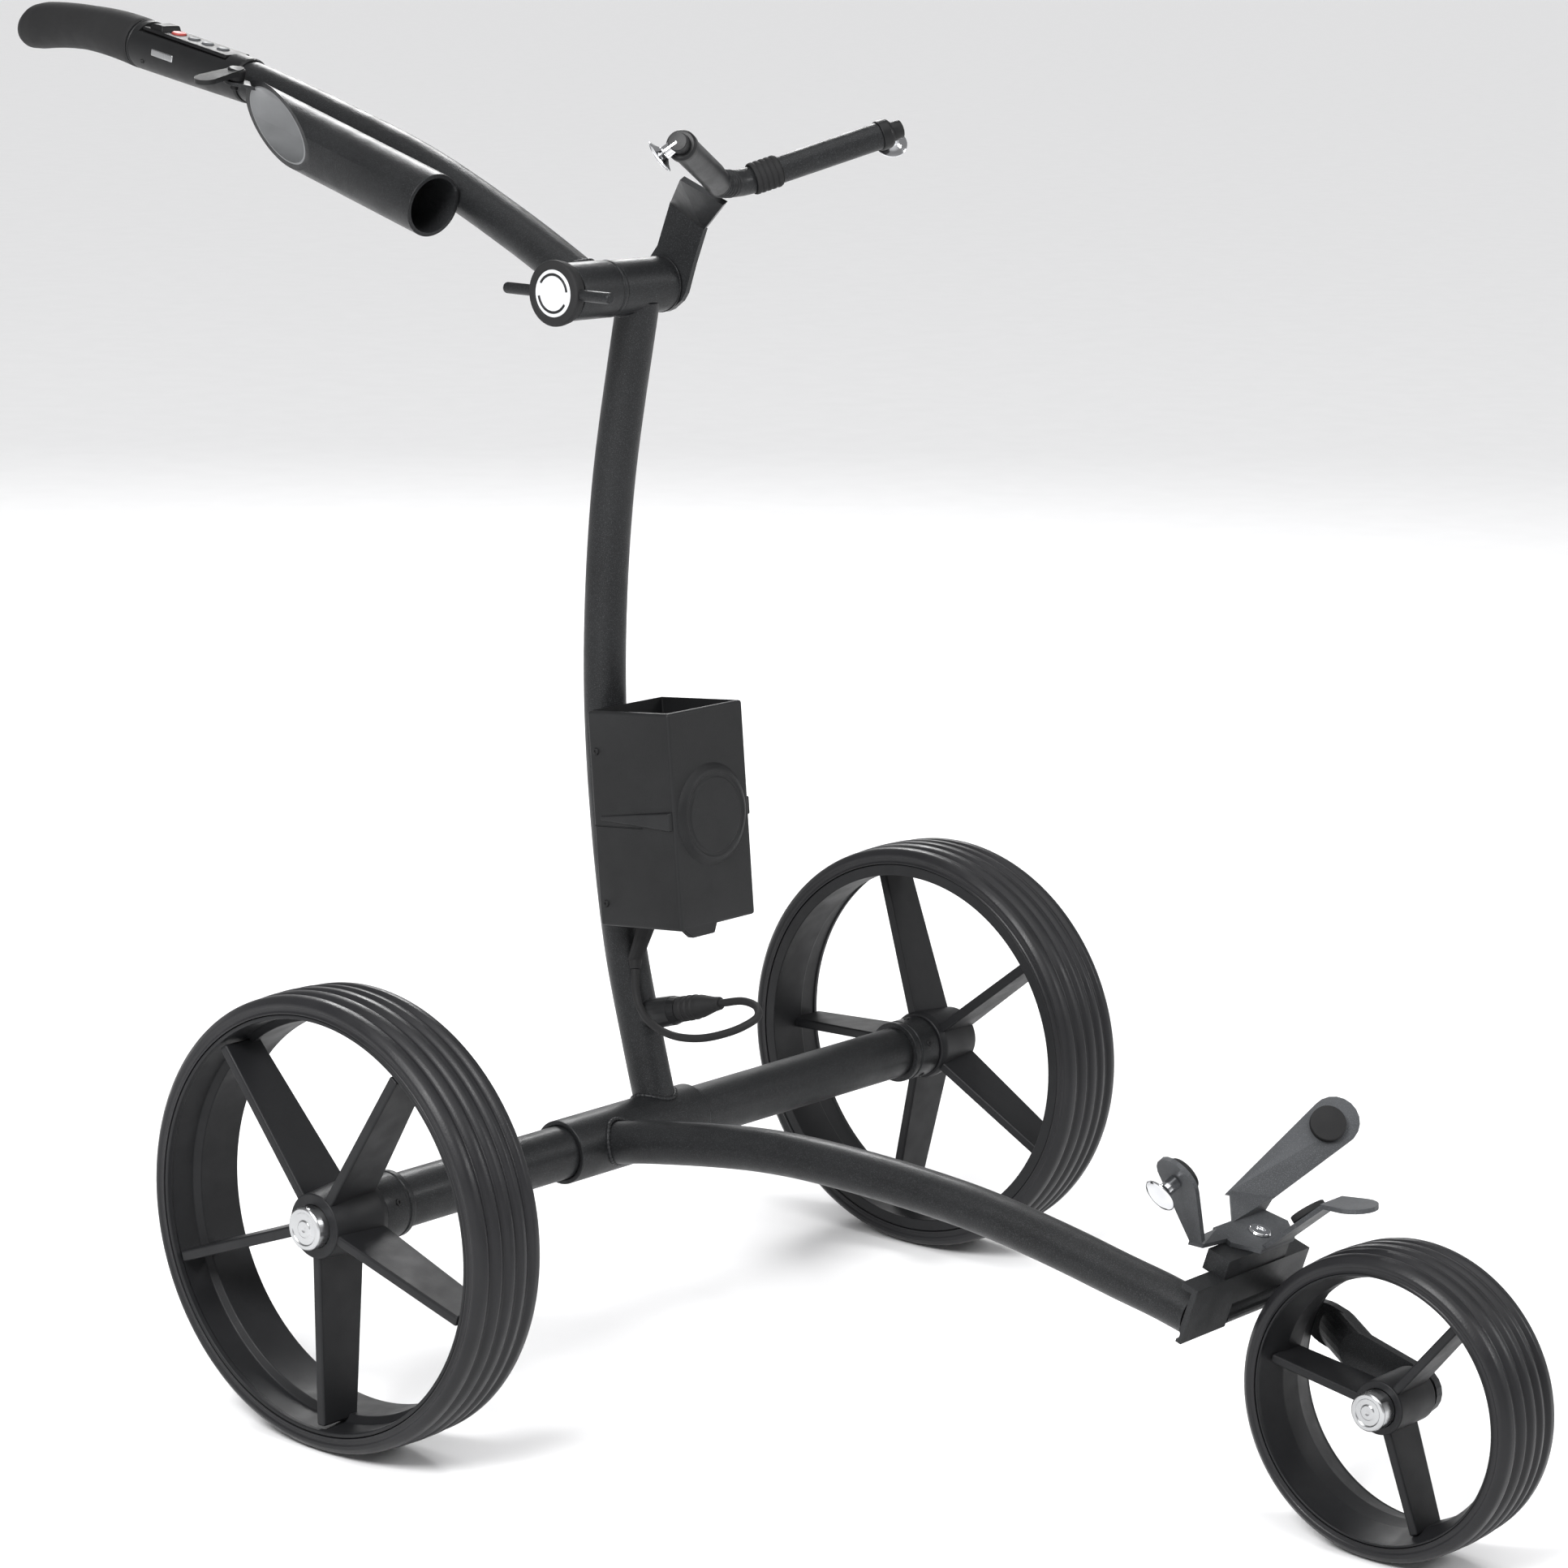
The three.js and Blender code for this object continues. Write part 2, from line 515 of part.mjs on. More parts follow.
function addCable() {
  const out = (d) => PLUG_ROOT.clone().addScaledVector(PLUG_AXIS, d);
  const mast = mastSolid(TUBE_R + GAP);
  const socketBody = join(bar(out(4), out(36), 10.8, 10.2, 20), bar(out(35), out(42), 10.2, 8.8, 20));
  add('charge_socket', cut(socketBody, mast), BLACK_PLASTIC);
  const plug = join(bar(out(42 + GAP), out(60), 8.8, 8.2, 20), bar(out(59.5), out(74), 8.2, 5, 20),
    bar(out(73.5), out(79), 5, 4.4, 16));
  const end = out(79 + GAP);
  add('cable_plug', plug, RUBBER);
  const start = CABLE_POINTS[0];
  const down = CABLE_POINTS[1].clone().sub(start).normalize();
  const top = boxFrame.at(-9, BOX.depth / 2 - 17, -BOX.height / 2 - GAP);
  const outlet = join(bar(start.clone().addScaledVector(down, -GAP), start.clone().addScaledVector(down, -8),
    3.6, 5, 12), hull([...discPoints(start.clone().addScaledVector(down, -7), down, 5, 1, 12),
    ...discPoints(top.clone().addScaledVector(boxFrame.up, -1), boxFrame.up, 6.5, 1, 12)]));
  add('cable_outlet', cut(outlet, mast), RUBBER);
  const route = [...CABLE_POINTS, end];
  add('battery_cable', sweep(route, CABLE_R, 8, 26), RUBBER);
}

// ---------------------------------------------------------------- hinge
function addHinge() {
  const { y, z, r } = HINGE;
  const pinBore = rodX(PIN_R + GAP, -100, 60, y, z, 16);
  const fixed = cut(rodX(r, HINGE_SEAM_X + GAP, BARREL_RIGHT_X - 1.5, y, z, 24), pinBore);
  const flange = cut(rodX(r + 0.5, BARREL_RIGHT_X - 1.6, BARREL_RIGHT_X, y, z, 24), pinBore);
  add('hinge_barrel_fixed', fixed.add(flange), PAINT);
  add('hinge_barrel_moving', cut(rodX(r + 0.5, BARREL_LEFT_X, HINGE_SEAM_X, y, z, 24), pinBore), PAINT);
  const shank = rodX(PIN_R, BARREL_LEFT_X - 0.6, 37, y, z, 16);
  add('hinge_pin', shank.add(rodX(8, 30, 35, y, z, 6)), STEEL);
  const knobX = BARREL_LEFT_X - 1;
  const grip = turnedX([[knobX, 0], [knobX, 19], [knobX - 2, 20.8], [knobX - 7, 21.8],
    [knobX - 9.5, 21.8], [knobX - 10.5, 20.6], [knobX - 10.5, 0]], 24);
  grip.translate(0, y, z);
  const crossBore = bar(vec(knobX - 5, y - 40, z), vec(knobX - 5, y + 40, z), 3.8 + GAP, 3.8 + GAP, 16);
  add('clamp_knob', cut(solid(grip), crossBore), RUBBER);
  add('clamp_bar', bar(vec(knobX - 5, y - 47, z), vec(knobX - 5, y + 47, z), 3.8, 3.8, 16), PAINT);
}

// ---------------------------------------------------------------- handle
const HANDLE_SPLAY = 43;            // the tube leaves the hinge this far off the centre line
const handleX = (y) => -HANDLE_SPLAY * (1 - (y - HINGE.y) / (SPLAY_END_Y - HINGE.y));
const handlePoint = (y, z) => vec(handleX(y), y, z);

const HANDLE_POINTS = [handlePoint(31, 722.7), handlePoint(104, 755.5), handlePoint(201, 792.5),
  handlePoint(300, 819.5), handlePoint(370, 836.3), handlePoint(404, 843.4)];

function handleSolid(radius) {
  return sweep(HANDLE_POINTS, radius, 12, 12);
}

// The straight stretch that carries the control housing and the grip.
const housingFrame = (() => {
  const from = handlePoint(HOUSING.y, HOUSING.z);
  const to = handlePoint(HOUSING.end_y, HOUSING.end_z);
  const along = to.clone().sub(from);
  const length = along.length();
  along.normalize();
  const across = new THREE.Vector3().crossVectors(along, vec(0, 0, 1)).normalize();
  const up = new THREE.Vector3().crossVectors(across, along);
  const basis = new THREE.Matrix4().makeBasis(along, across.clone().negate(), up);
  basis.setPosition(from);
  const at = (s, a, u) => vec(s, a, u).applyMatrix4(basis);
  return { basis, at, length };
})();

const inHousing = (geometry) => solid(geometry.applyMatrix4(housingFrame.basis));

// The gentle droop of the grip, as a rise above the straight axis at distance s from its seam.
const gripRise = (s) => 0.045 * s - 0.0012 * s * s;

function addHandle() {
  const barrel = rodX(HINGE.r + 0.5 + GAP, -100, 0, HINGE.y, HINGE.z);
  const { length } = housingFrame;
  const socketDepth = 15;
  add('handle_tube', cut(handleSolid(TUBE_R), barrel), PAINT);

  const shellProfile = [[0, 0], [0, 15.4], [2, 16.2], [60, 17.2], [length - 2, 18], [length, 17.6],
    [length, 0]];
  const shell = inHousing(turnedX(shellProfile, 24));
  const flat = inHousing(new THREE.BoxGeometry(PANEL_SPAN + 2, 60, 20).translate(PANEL_AT, 0, 21.6));
  const pocket = inHousing(new THREE.BoxGeometry(84, 18, 12).translate(PANEL_AT, 0, 6));
  const bore = inHousing(turnedX([[-5, 0], [-5, TUBE_R + 0.6], [socketDepth + 1.4, TUBE_R + 0.6],
    [socketDepth + 1.4, 0]], 12));
  add('control_housing', cut(shell, flat, pocket, bore), BLACK_PLASTIC);

  const panel = new THREE.BoxGeometry(PANEL_SPAN, 22, 3).translate(PANEL_AT, 0, 13.6);
  const hood = new ConvexGeometry([vec(96, -9, 14), vec(96, 9, 14), vec(113, -9, 14), vec(113, 9, 14),
    vec(98, -8, 19), vec(98, 8, 19), vec(110, -8, 18.6), vec(110, 8, 18.6)]);
  let panelBody = join(inHousing(panel), inHousing(hood));
  BUTTON_PLACES.forEach(({ s, radius }) => {
    panelBody = panelBody.subtract(inHousing(buttonCylinder(s, radius + GAP, 8, 20)));
  });
  add('control_panel', panelBody, PANEL);
  BUTTON_PLACES.forEach(({ name, s, radius, look }) => {
    add(name, inHousing(buttonCylinder(s, radius, 12.6, 16.6)), look);
  });

  const gripLength = 144.5;
  const gripProfile = [[GAP, 0], [GAP, 17.6], [3, 18.2], [34, 17.4], [66, 16.4], [94, 16.9],
    [120, 17.6], [132, 16.6], [139, 13], [gripLength - 1, 7.5], [gripLength, 0]];
  const grip = turnedX(gripProfile, 20);
  const position = grip.attributes.position;
  for (let i = 0; i < position.count; i += 1) {
    position.setZ(i, position.getZ(i) + gripRise(position.getX(i)));
  }
  grip.translate(length, 0, 0);
  add('handle_grip', inHousing(grip), RUBBER);
}

const PANEL_SPAN = 98;
const PANEL_AT = 68;                // middle of the panel along the housing
const BUTTON_PLACES = [
  { name: 'power_button', s: 88, radius: 5.5, look: BUTTON_RED },
  { name: 'faster_button', s: 70, radius: 4.5, look: BUTTON_GREY },
  { name: 'slower_button', s: 54, radius: 4.5, look: BUTTON_GREY },
  { name: 'timer_button', s: 36, radius: 4.5, look: BUTTON_GREY },
];

function buttonCylinder(s, radius, u0, u1) {
  const geometry = new THREE.CylinderGeometry(radius, radius, u1 - u0, 12);
  geometry.rotateX(Math.PI / 2);
  return geometry.translate(s, 0, (u0 + u1) / 2);
}

// ---------------------------------------------------------------- umbrella and card holder
const HOLDER = { r: 22, bore: 19.2, bottom: vec(-69.8, 151.5, 771.4), top: vec(-50.5, 380, 832) };

const holderFrame = (() => {
  const along = HOLDER.top.clone().sub(HOLDER.bottom);
  const length = along.length();
  along.normalize();
  const across = new THREE.Vector3().crossVectors(along, vec(0, 0, 1)).normalize();
  const up = new THREE.Vector3().crossVectors(across, along);
  const basis = new THREE.Matrix4().makeBasis(along, across.clone().negate(), up);
  basis.setPosition(HOLDER.bottom);
  return { basis, length, at: (s, a, u) => vec(s, a, u).applyMatrix4(basis) };
})();

const inHolder = (geometry) => solid(geometry.applyMatrix4(holderFrame.basis));

function addHolder() {
  const { length } = holderFrame;
  const outside = inHolder(turnedX([[0, 0], [0, HOLDER.r], [length, HOLDER.r], [length, 0]], 28));
  const inside = inHolder(turnedX([[-5, 0], [-5, HOLDER.bore], [length + 5, HOLDER.bore],
    [length + 5, 0]], 28));
  const mouthLow = 107;
  const wedge = new THREE.BoxGeometry(400, 200, 200).translate(200, 0, 0);
  wedge.rotateY(Math.atan2(length - mouthLow, 2 * HOLDER.r));
  wedge.translate((length + mouthLow) / 2, 0, 0);
  wedge.rotateX(rad(84));
  const clips = [inHolder(new THREE.BoxGeometry(16, 30, 12).translate(22, -26, 3)),
    inHolder(new THREE.BoxGeometry(16, 30, 12).translate(length - 46, -26, 4))];
  const body = cut(join(outside, ...clips), inside, handleSolid(TUBE_R + GAP));
  const trimmed = cut(body, inHolder(wedge));
  const leverAt = length - 1;
  const level = vec(0, 0, 1);
  const ledge = new ConvexGeometry([...discPoints(vec(leverAt, -10, 10.5), level, 8, 2.6, 20),
    ...discPoints(vec(leverAt - 13, -17.5, 10.5), level, 4.5, 2.6, 12)]);
  const screwBore = new THREE.CylinderGeometry(3.4, 3.4, 30, 12).rotateX(Math.PI / 2);
  screwBore.translate(leverAt, -10, 10);
  add('umbrella_holder', trimmed.add(inHolder(ledge)).subtract(inHolder(screwBore)), PAINT);

  const upright = (radius, u0, u1, sides) => {
    const geometry = new THREE.CylinderGeometry(radius, radius, u1 - u0, sides).rotateX(Math.PI / 2);
    return inHolder(geometry.translate(leverAt, -10, (u0 + u1) / 2));
  };
  const paddle = (reach, halfWidth, drop) => {
    const normal = vec(0.12, drop / reach, 1);
    const tip = discPoints(vec(leverAt, -10 + reach, 18 - drop), normal, halfWidth, 3.4, 18);
    const root = discPoints(vec(leverAt, -10, 18), normal, 5.5, 4.4, 18);
    return inHolder(new ConvexGeometry([...tip, ...root]));
  };
  const hub = upright(6.5, 11.8 + GAP, 20.5, 16);
  add('wing_screw', join(hub, upright(3, 5, 15, 12), paddle(25, 9, 5)), BLACK_PLASTIC);
}

// ---------------------------------------------------------------- upper bag bracket
function addBagBracket() {
  const tip = (side) => vec(side * VEE.half, VEE.tip_y, VEE.tip_z);
  const apex = vec(0, VEE.apex_y, VEE.apex_z);
  const onArm = (side, t) => apex.clone().lerp(tip(side), t);
  const veePoints = [tip(-1), onArm(-1, 0.65), onArm(-1, 0.35), onArm(-1, 0.13),
    onArm(1, 0.13), onArm(1, 0.35), onArm(1, 0.65), tip(1)];
  const veeAt = (radius) => sweep(veePoints, radius, 12, 21);
  add('vee_tube', veeAt(VEE.r), PAINT);

  const ringed = bar(onArm(1, 0.17), onArm(1, 0.34), VEE.r + 2.2, VEE.r + 2.2, 16);
  const ringBore = bar(onArm(1, 0.1), onArm(1, 0.4), VEE.r + 1, VEE.r + 1, 16);
  add('vee_bellows', cut(ringed, ringBore), RUBBER);
  [-1, 1].forEach((side) => {
    const name = side < 0 ? 'left' : 'right';
    const outward = tip(side).sub(apex).normalize();
    const at = (d) => tip(side).addScaledVector(outward, d);
    const bore = bar(at(3), at(12), 5, 5, 12);
    const band = bar(at(GAP), at(7), VEE.r + 1, VEE.r + 1, 16);
    const collar = join(band, bar(at(7), at(8.5), VEE.r + 1, VEE.r, 16));
    add(`vee_cap_${name}`, cut(collar, bore), BLACK_PLASTIC);
    const away = vec(0.49 * side, 0.63, -0.6).normalize();
    const spigot = bar(at(3 + GAP), at(9), 5 - GAP, 5 - GAP, 12);
    const ferrule = join(spigot, bar(at(8.5 + GAP), at(17), 6.8, 6.2, 12));
    const profile = [[0, 0], [0, 4.2], [11, 4.2], [13, 7.5], [14.6, 11.6], [16, 10], [17, 7], [17, 0]];
    const hook = turnedX(profile, 16);
    hook.applyQuaternion(new THREE.Quaternion().setFromUnitVectors(vec(1, 0, 0), away));
    const root = at(13);
    add(`vee_stud_${name}`, join(ferrule, solid(hook.translate(root.x, root.y, root.z))), CHROME);
  });

  const armX = 27.2;
  const x = vec(1, 0, 0);
  const thickness = 4;
  const disc = discPoints(vec(armX, HINGE.y, HINGE.z), x, 19, thickness, 24);
  const bendBack = vec(armX, 24, 778);
  const bendFront = vec(armX, -6, 762);
  const flatTop = [vec(armX, 35, 748), vec(armX, 3, 738), bendBack, bendFront];
  const topPoints = flatTop.flatMap((p) => [p.clone().setX(armX + 2), p.clone().setX(armX - 2)]);
  const toe = discPoints(vec(armX, HINGE.y - 6, HINGE.z + 2), x, 17, thickness, 16);
  const foot = hull([...disc, ...toe, ...topPoints.slice(0, 4)]);
  const flat = hull(topPoints);
  const headBack = vec(-4, -12, 797);
  const headFront = vec(-4, -50, 783);
  const across = new THREE.Vector3().crossVectors(bendBack.clone().sub(bendFront),
    headBack.clone().sub(bendBack)).normalize();
  const head = slab([bendBack, bendFront, headFront, headBack], across, thickness);
  const pinBore = rodX(PIN_R + GAP, 0, 60, HINGE.y, HINGE.z, 16);
  const body = cut(join(foot, flat, head), pinBore, veeAt(VEE.r + GAP));
  add('bag_arm', body, PAINT);
}

// ---------------------------------------------------------------- assembly
addAxle();
addMast();
addBoom();
addFrontBracket();
addFork();
addCradle();
addBatteryBox();
addCable();
addHinge();
addHandle();
addHolder();
addBagBracket();
addRearWheel(-1, 'left');
addRearWheel(1, 'right');
addFrontWheel();

export default trolley;
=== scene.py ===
"""Studio scene of an electric golf trolley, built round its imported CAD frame. Metres, +Z up."""
import json
import math
import bmesh
import bpy
from mathutils import Matrix, Vector


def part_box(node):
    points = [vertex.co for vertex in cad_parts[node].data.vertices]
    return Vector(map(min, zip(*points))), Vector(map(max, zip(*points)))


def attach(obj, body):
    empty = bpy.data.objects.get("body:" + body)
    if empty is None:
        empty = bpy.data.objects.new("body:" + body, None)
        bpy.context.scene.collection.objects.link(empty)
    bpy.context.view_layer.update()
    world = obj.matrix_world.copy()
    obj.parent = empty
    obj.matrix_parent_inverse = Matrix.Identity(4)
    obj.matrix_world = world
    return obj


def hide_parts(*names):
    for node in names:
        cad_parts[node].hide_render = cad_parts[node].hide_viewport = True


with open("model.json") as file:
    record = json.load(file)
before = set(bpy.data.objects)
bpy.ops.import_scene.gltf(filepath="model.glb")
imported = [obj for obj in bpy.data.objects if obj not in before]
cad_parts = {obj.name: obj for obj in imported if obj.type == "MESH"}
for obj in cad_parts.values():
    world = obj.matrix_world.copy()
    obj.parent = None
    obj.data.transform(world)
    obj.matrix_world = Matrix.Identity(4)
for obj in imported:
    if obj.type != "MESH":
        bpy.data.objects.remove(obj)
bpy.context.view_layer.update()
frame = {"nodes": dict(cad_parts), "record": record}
record = frame["record"]

MM = 0.001
BODY_OF = {node: body for body, nodes in record["behaviour"]["bodies"].items() for node in nodes}
SLOT_OF = {part["node"]: part["material_slot"] for part in record["subparts"]}
COLOR_OF = {entry["slot"]: entry["base_color"] for entry in record["materials"]}
JOINTS = {joint["name"]: joint for joint in record["behaviour"]["joints"]}


def middle(node):
    low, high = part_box(node)
    return (Vector(low) + Vector(high)) / 2


# Every place below is in millimetres from the ground point straight under the middle of the axle.
GROUND = Vector((0, middle("axle_tube").y, 0))


def at(x, y, z):
    return GROUND + Vector((x, y, z)) * MM


def local(point):
    return (Vector(point) - GROUND) / MM


AXLE_Z = local(middle("axle_tube")).z
HINGE = local(JOINTS["handle_fold"]["pos_m"])
TUBE_R = 14.5
GAP = 0.3
REAR_TYRE_R, REAR_HALF_WIDTH, REAR_BORE_R = 150, 29, 137
FRONT_TYRE_R, FRONT_HALF_WIDTH, FRONT_BORE_R = 96.8, 28.8, 85
REAR_SPOKES, FRONT_SPOKES = 5, 3
FULL_TURN = 2 * math.pi
X_AXIS = Vector((1, 0, 0))
Z_AXIS = Vector((0, 0, 1))


# ---------------------------------------------------------------- camera and stage
CAMERA_PLACE = (-2241.5, -1987.8, 1015)
CAMERA_ANGLES = (-49.99, 11.79, 1.14)      # yaw, pitch down and roll, in degrees
CAMERA_LENS = 103.74
AIM_HEIGHT = 0.4


def add_camera():
    yaw, pitch, roll = (math.radians(angle) for angle in CAMERA_ANGLES)
    right = Vector((math.cos(yaw), math.sin(yaw), 0))
    back = Vector((math.sin(yaw) * math.cos(pitch), -math.cos(yaw) * math.cos(pitch), math.sin(pitch)))
    up = back.cross(right)
    rolled_right = right * math.cos(roll) + up * math.sin(roll)
    rolled_up = up * math.cos(roll) - right * math.sin(roll)
    data = bpy.data.cameras.new("camera")
    data.lens = CAMERA_LENS
    data.sensor_width = 36
    data.clip_end = 150
    camera = bpy.data.objects.new("camera", data)
    turn = Matrix((rolled_right, rolled_up, back)).transposed().to_4x4()
    camera.matrix_world = Matrix.Translation(at(*CAMERA_PLACE)) @ turn
    bpy.context.collection.objects.link(camera)
    bpy.context.scene.camera = camera


def add_light(name, place, size, power):
    data = bpy.data.lights.new(name, "AREA")
    data.size = size
    data.energy = power
    light = bpy.data.objects.new(name, data)
    place = Vector(place)
    aim = Vector((0, 0, AIM_HEIGHT)) - place
    turn = aim.to_track_quat("-Z", "Y").to_matrix().to_4x4()
    light.matrix_world = Matrix.Translation(place) @ turn
    bpy.context.collection.objects.link(light)


FLOOR_HALF = 45      # metres, far enough that the floor fills the picture


def add_sky_panel(power):
    """Broad even light from above, the same all over the floor."""
    data = bpy.data.lights.new("sky_panel", "SUN")
    data.energy = power
    data.angle = math.radians(70)
    light = bpy.data.objects.new("sky_panel", data)
    light.rotation_euler = (math.radians(14), math.radians(-10), 0)
    bpy.context.collection.objects.link(light)


def add_world():
    """Pale near the horizon and dimmer overhead, so that round tubes show clear highlights."""
    world = bpy.data.worlds.new("studio")
    world.use_nodes = True
    tree = world.node_tree
    direction = tree.nodes.new("ShaderNodeTexCoord").outputs["Generated"]
    split = tree.nodes.new("ShaderNodeSeparateXYZ")
    tree.links.new(direction, split.inputs["Vector"])
    background = tree.nodes["Background"]
    tree.links.new(ranged(tree, split.outputs["Z"], 0.8, 0.28, 0.05, 0.4), background.inputs["Strength"])
    background.inputs["Color"].default_value = (0.99, 0.99, 1, 1)
    bpy.context.scene.world = world


def add_stage():
    add_world()
    bpy.context.scene.view_settings.view_transform = "Standard"
    mesh = bpy.data.meshes.new("floor")
    reach = FLOOR_HALF
    corners = [(-reach, -reach, 0), (reach, -reach, 0), (reach, reach, 0), (-reach, reach, 0)]
    mesh.from_pydata(corners, [], [(0, 1, 2, 3)])
    pale = look("floor", (0.93, 0.93, 0.935), 0.9, grain=90, bump=0.004, vary=0.02, even=True)
    mesh.materials.append(pale)
    floor = bpy.data.objects.new("floor", mesh)
    bpy.context.collection.objects.link(floor)
    add_sky_panel(1.7)
    add_light("key", (-2.4, -0.6, 2.2), 1.0, 95)
    add_light("front", (1.6, -2.8, 2.0), 0.8, 36)
    add_light("rim", (2.2, 2.2, 2.4), 0.9, 50)


# ---------------------------------------------------------------- materials
def noise(tree, coordinates, scale, detail=4):
    texture = tree.nodes.new("ShaderNodeTexNoise")
    texture.inputs["Scale"].default_value = scale
    texture.inputs["Detail"].default_value = detail
    tree.links.new(coordinates, texture.inputs["Vector"])
    return texture.outputs["Fac"]


def ranged(tree, value, low, high, start=0.3, end=0.7):
    node = tree.nodes.new("ShaderNodeMapRange")
    node.inputs["From Min"].default_value = start
    node.inputs["From Max"].default_value = end
    node.inputs["To Min"].default_value = low
    node.inputs["To Max"].default_value = high
    tree.links.new(value, node.inputs["Value"])
    return node.outputs["Result"]


def mixed(tree, factor, first, second):
    node = tree.nodes.new("ShaderNodeMix")
    node.data_type = "RGBA"
    tree.links.new(factor, node.inputs["Factor"])
    for name, value in (("A", first), ("B", second)):
        socket = next(s for s in node.inputs if s.name == name and s.type == "RGBA")
        if isinstance(value, bpy.types.NodeSocket):
            tree.links.new(value, socket)
        else:
            socket.default_value = (*value, 1)
    return next(s for s in node.outputs if s.type == "RGBA")


TONE_SCALE, BLOTCH_SCALE, FLAKE_SCALE = 16, 55, 2600
TONE_SPREAD, EVEN_SPREAD = 0.17, 0.01
RELIEF_DEPTH = 0.0004


def look(name, color, rough, metal=0.0, grain=1500, bump=0.06, vary=0.07, edge_highlight=0.0,
         stretch=(1, 1, 1), coat=0.0, flake=0.0, even=False):
    """A finish with grain, uneven roughness, faint colour change and a painted highlight along its sharp
    edges.
    """
    material = bpy.data.materials.new(name)
    material.use_nodes = True
    tree = material.node_tree
    shader = tree.nodes["Principled BSDF"]
    places = tree.nodes.new("ShaderNodeTexCoord").outputs["Object"]
    mapping = tree.nodes.new("ShaderNodeMapping")
    mapping.inputs["Scale"].default_value = stretch
    tree.links.new(places, mapping.inputs["Vector"])
    fine = noise(tree, mapping.outputs["Vector"], grain)
    broad = noise(tree, places, TONE_SCALE, 5)
    spread = EVEN_SPREAD if even else TONE_SPREAD
    lighter = tuple(min(1, c * (1 + spread)) for c in color)
    darker = tuple(c * (1 - spread) for c in color)
    tone = mixed(tree, ranged(tree, broad, 0, 1), darker, lighter)
    if flake:
        speck = ranged(tree, noise(tree, places, FLAKE_SCALE, 1), 0, flake, 0.58, 0.7)
        tone = mixed(tree, speck, tone, tuple(min(1, c * 5) for c in color))
    # Painted highlight: sharp edges (high pointiness) are painted lighter, standing in for light catching
    # them.
    if edge_highlight:
        pointiness = tree.nodes.new("ShaderNodeNewGeometry").outputs["Pointiness"]
        edge_highlight_mask = ranged(tree, pointiness, 0, edge_highlight, 0.53, 0.6)
        tone = mixed(tree, edge_highlight_mask, tone, tuple(min(1, c * 2.4 + 0.006) for c in color))
    tree.links.new(tone, shader.inputs["Base Color"])
    blotches = ranged(tree, noise(tree, places, BLOTCH_SCALE, 6), rough - vary, rough + vary)
    tree.links.new(blotches, shader.inputs["Roughness"])
    shader.inputs["Metallic"].default_value = metal
    shader.inputs["Coat Weight"].default_value = coat
    shader.inputs["Coat Roughness"].default_value = 0.2
    bright = metal > 0.9 or max(color) > 0.1
    shader.inputs["Specular IOR Level"].default_value = 0.5 if bright else 0.24
    relief = tree.nodes.new("ShaderNodeBump")
    relief.inputs["Strength"].default_value = bump
    relief.inputs["Distance"].default_value = RELIEF_DEPTH
    tree.links.new(fine, relief.inputs["Height"])
    tree.links.new(relief.outputs["Normal"], shader.inputs["Normal"])
    return material


# Under this much studio light the black finishes need deeper colours, and the pale ones wash out.
DARK_DEPTH = 0.25
DARK_BELOW = 0.1
PALE_DEPTH = {"bright_aluminium": 0.55, "chrome": 0.8, "key_grey": 0.28, "key_red": 0.6}


def make_looks():
    """One finish for each material slot of the record, and three for details without a slot."""
    # The edge setting of each finish is a painted highlight: how much lighter its sharp edges are painted.
    settings = {
        "frame_paint": dict(rough=0.47, metal=0.3, grain=1300, bump=0.4, edge_highlight=0.4, coat=0.08, flake=0.9),
        "tyre": dict(rough=0.38, grain=900, bump=0.22, edge_highlight=0.4),
        "wheel_plastic": dict(rough=0.5, grain=1700, bump=0.2, edge_highlight=0.3),
        "rubber": dict(rough=0.7, grain=1300, bump=0.25, edge_highlight=0.2),
        "black_plastic": dict(rough=0.46, grain=1300, bump=0.26, edge_highlight=0.5),
        "panel_gloss": dict(rough=0.52, grain=900, bump=0.06, vary=0.05),
        "battery_case": dict(rough=0.55, grain=1500, bump=0.2, edge_highlight=0.25),
        "key_grey": dict(rough=0.5, grain=1100, bump=0.1, edge_highlight=0.2),
        "key_red": dict(rough=0.5, grain=1100, bump=0.1, edge_highlight=0.2),
        "chrome": dict(rough=0.1, metal=1.0, grain=700, bump=0.015, vary=0.05),
        "bright_aluminium": dict(rough=0.26, metal=1.0, grain=300, bump=0.08, stretch=(14, 1, 1)),
        "steel": dict(rough=0.32, metal=1.0, grain=260, bump=0.1, stretch=(1, 9, 9)),
    }
    looks = {}
    for slot, values in settings.items():
        deepen = DARK_DEPTH if max(COLOR_OF[slot]) < DARK_BELOW else 1
        deepen = PALE_DEPTH.get(slot, deepen)
        looks[slot] = look(slot, tuple(c * deepen for c in COLOR_OF[slot]), **values)
    looks["badge"] = look("badge", (0.5, 0.51, 0.52), 0.45, bump=0.03)
    looks["lining"] = look("lining", (0.2, 0.205, 0.21), 0.42, metal=0.5, grain=600, bump=0.05)
    looks["plate_paint"] = look("plate_paint", (0.045, 0.047, 0.05), 0.5, metal=0.3, grain=1900, bump=0.16,
                                edge_highlight=0.3, flake=0.4)
    return looks


# ---------------------------------------------------------------- mesh helpers
def piece(name, points, faces, smooth_angle=35):
    mesh = bpy.data.meshes.new(name)
    mesh.from_pydata(points, [], faces)
    mesh.validate()
    mesh.shade_smooth()
    mesh.set_sharp_from_angle(angle=math.radians(smooth_angle))
    made = bpy.data.objects.new(name, mesh)
    bpy.context.collection.objects.link(made)
    return made


def facing_out(made):
    """Turns the faces of a closed mesh outward."""
    mesh = made.data
    mesh.calc_loop_triangles()
    volume = 0
    for triangle in mesh.loop_triangles:
        a, b, c = (mesh.vertices[i].co for i in triangle.vertices)
        volume += a.dot(b.cross(c))
    if volume < 0:
        mesh.flip_normals()
    return made


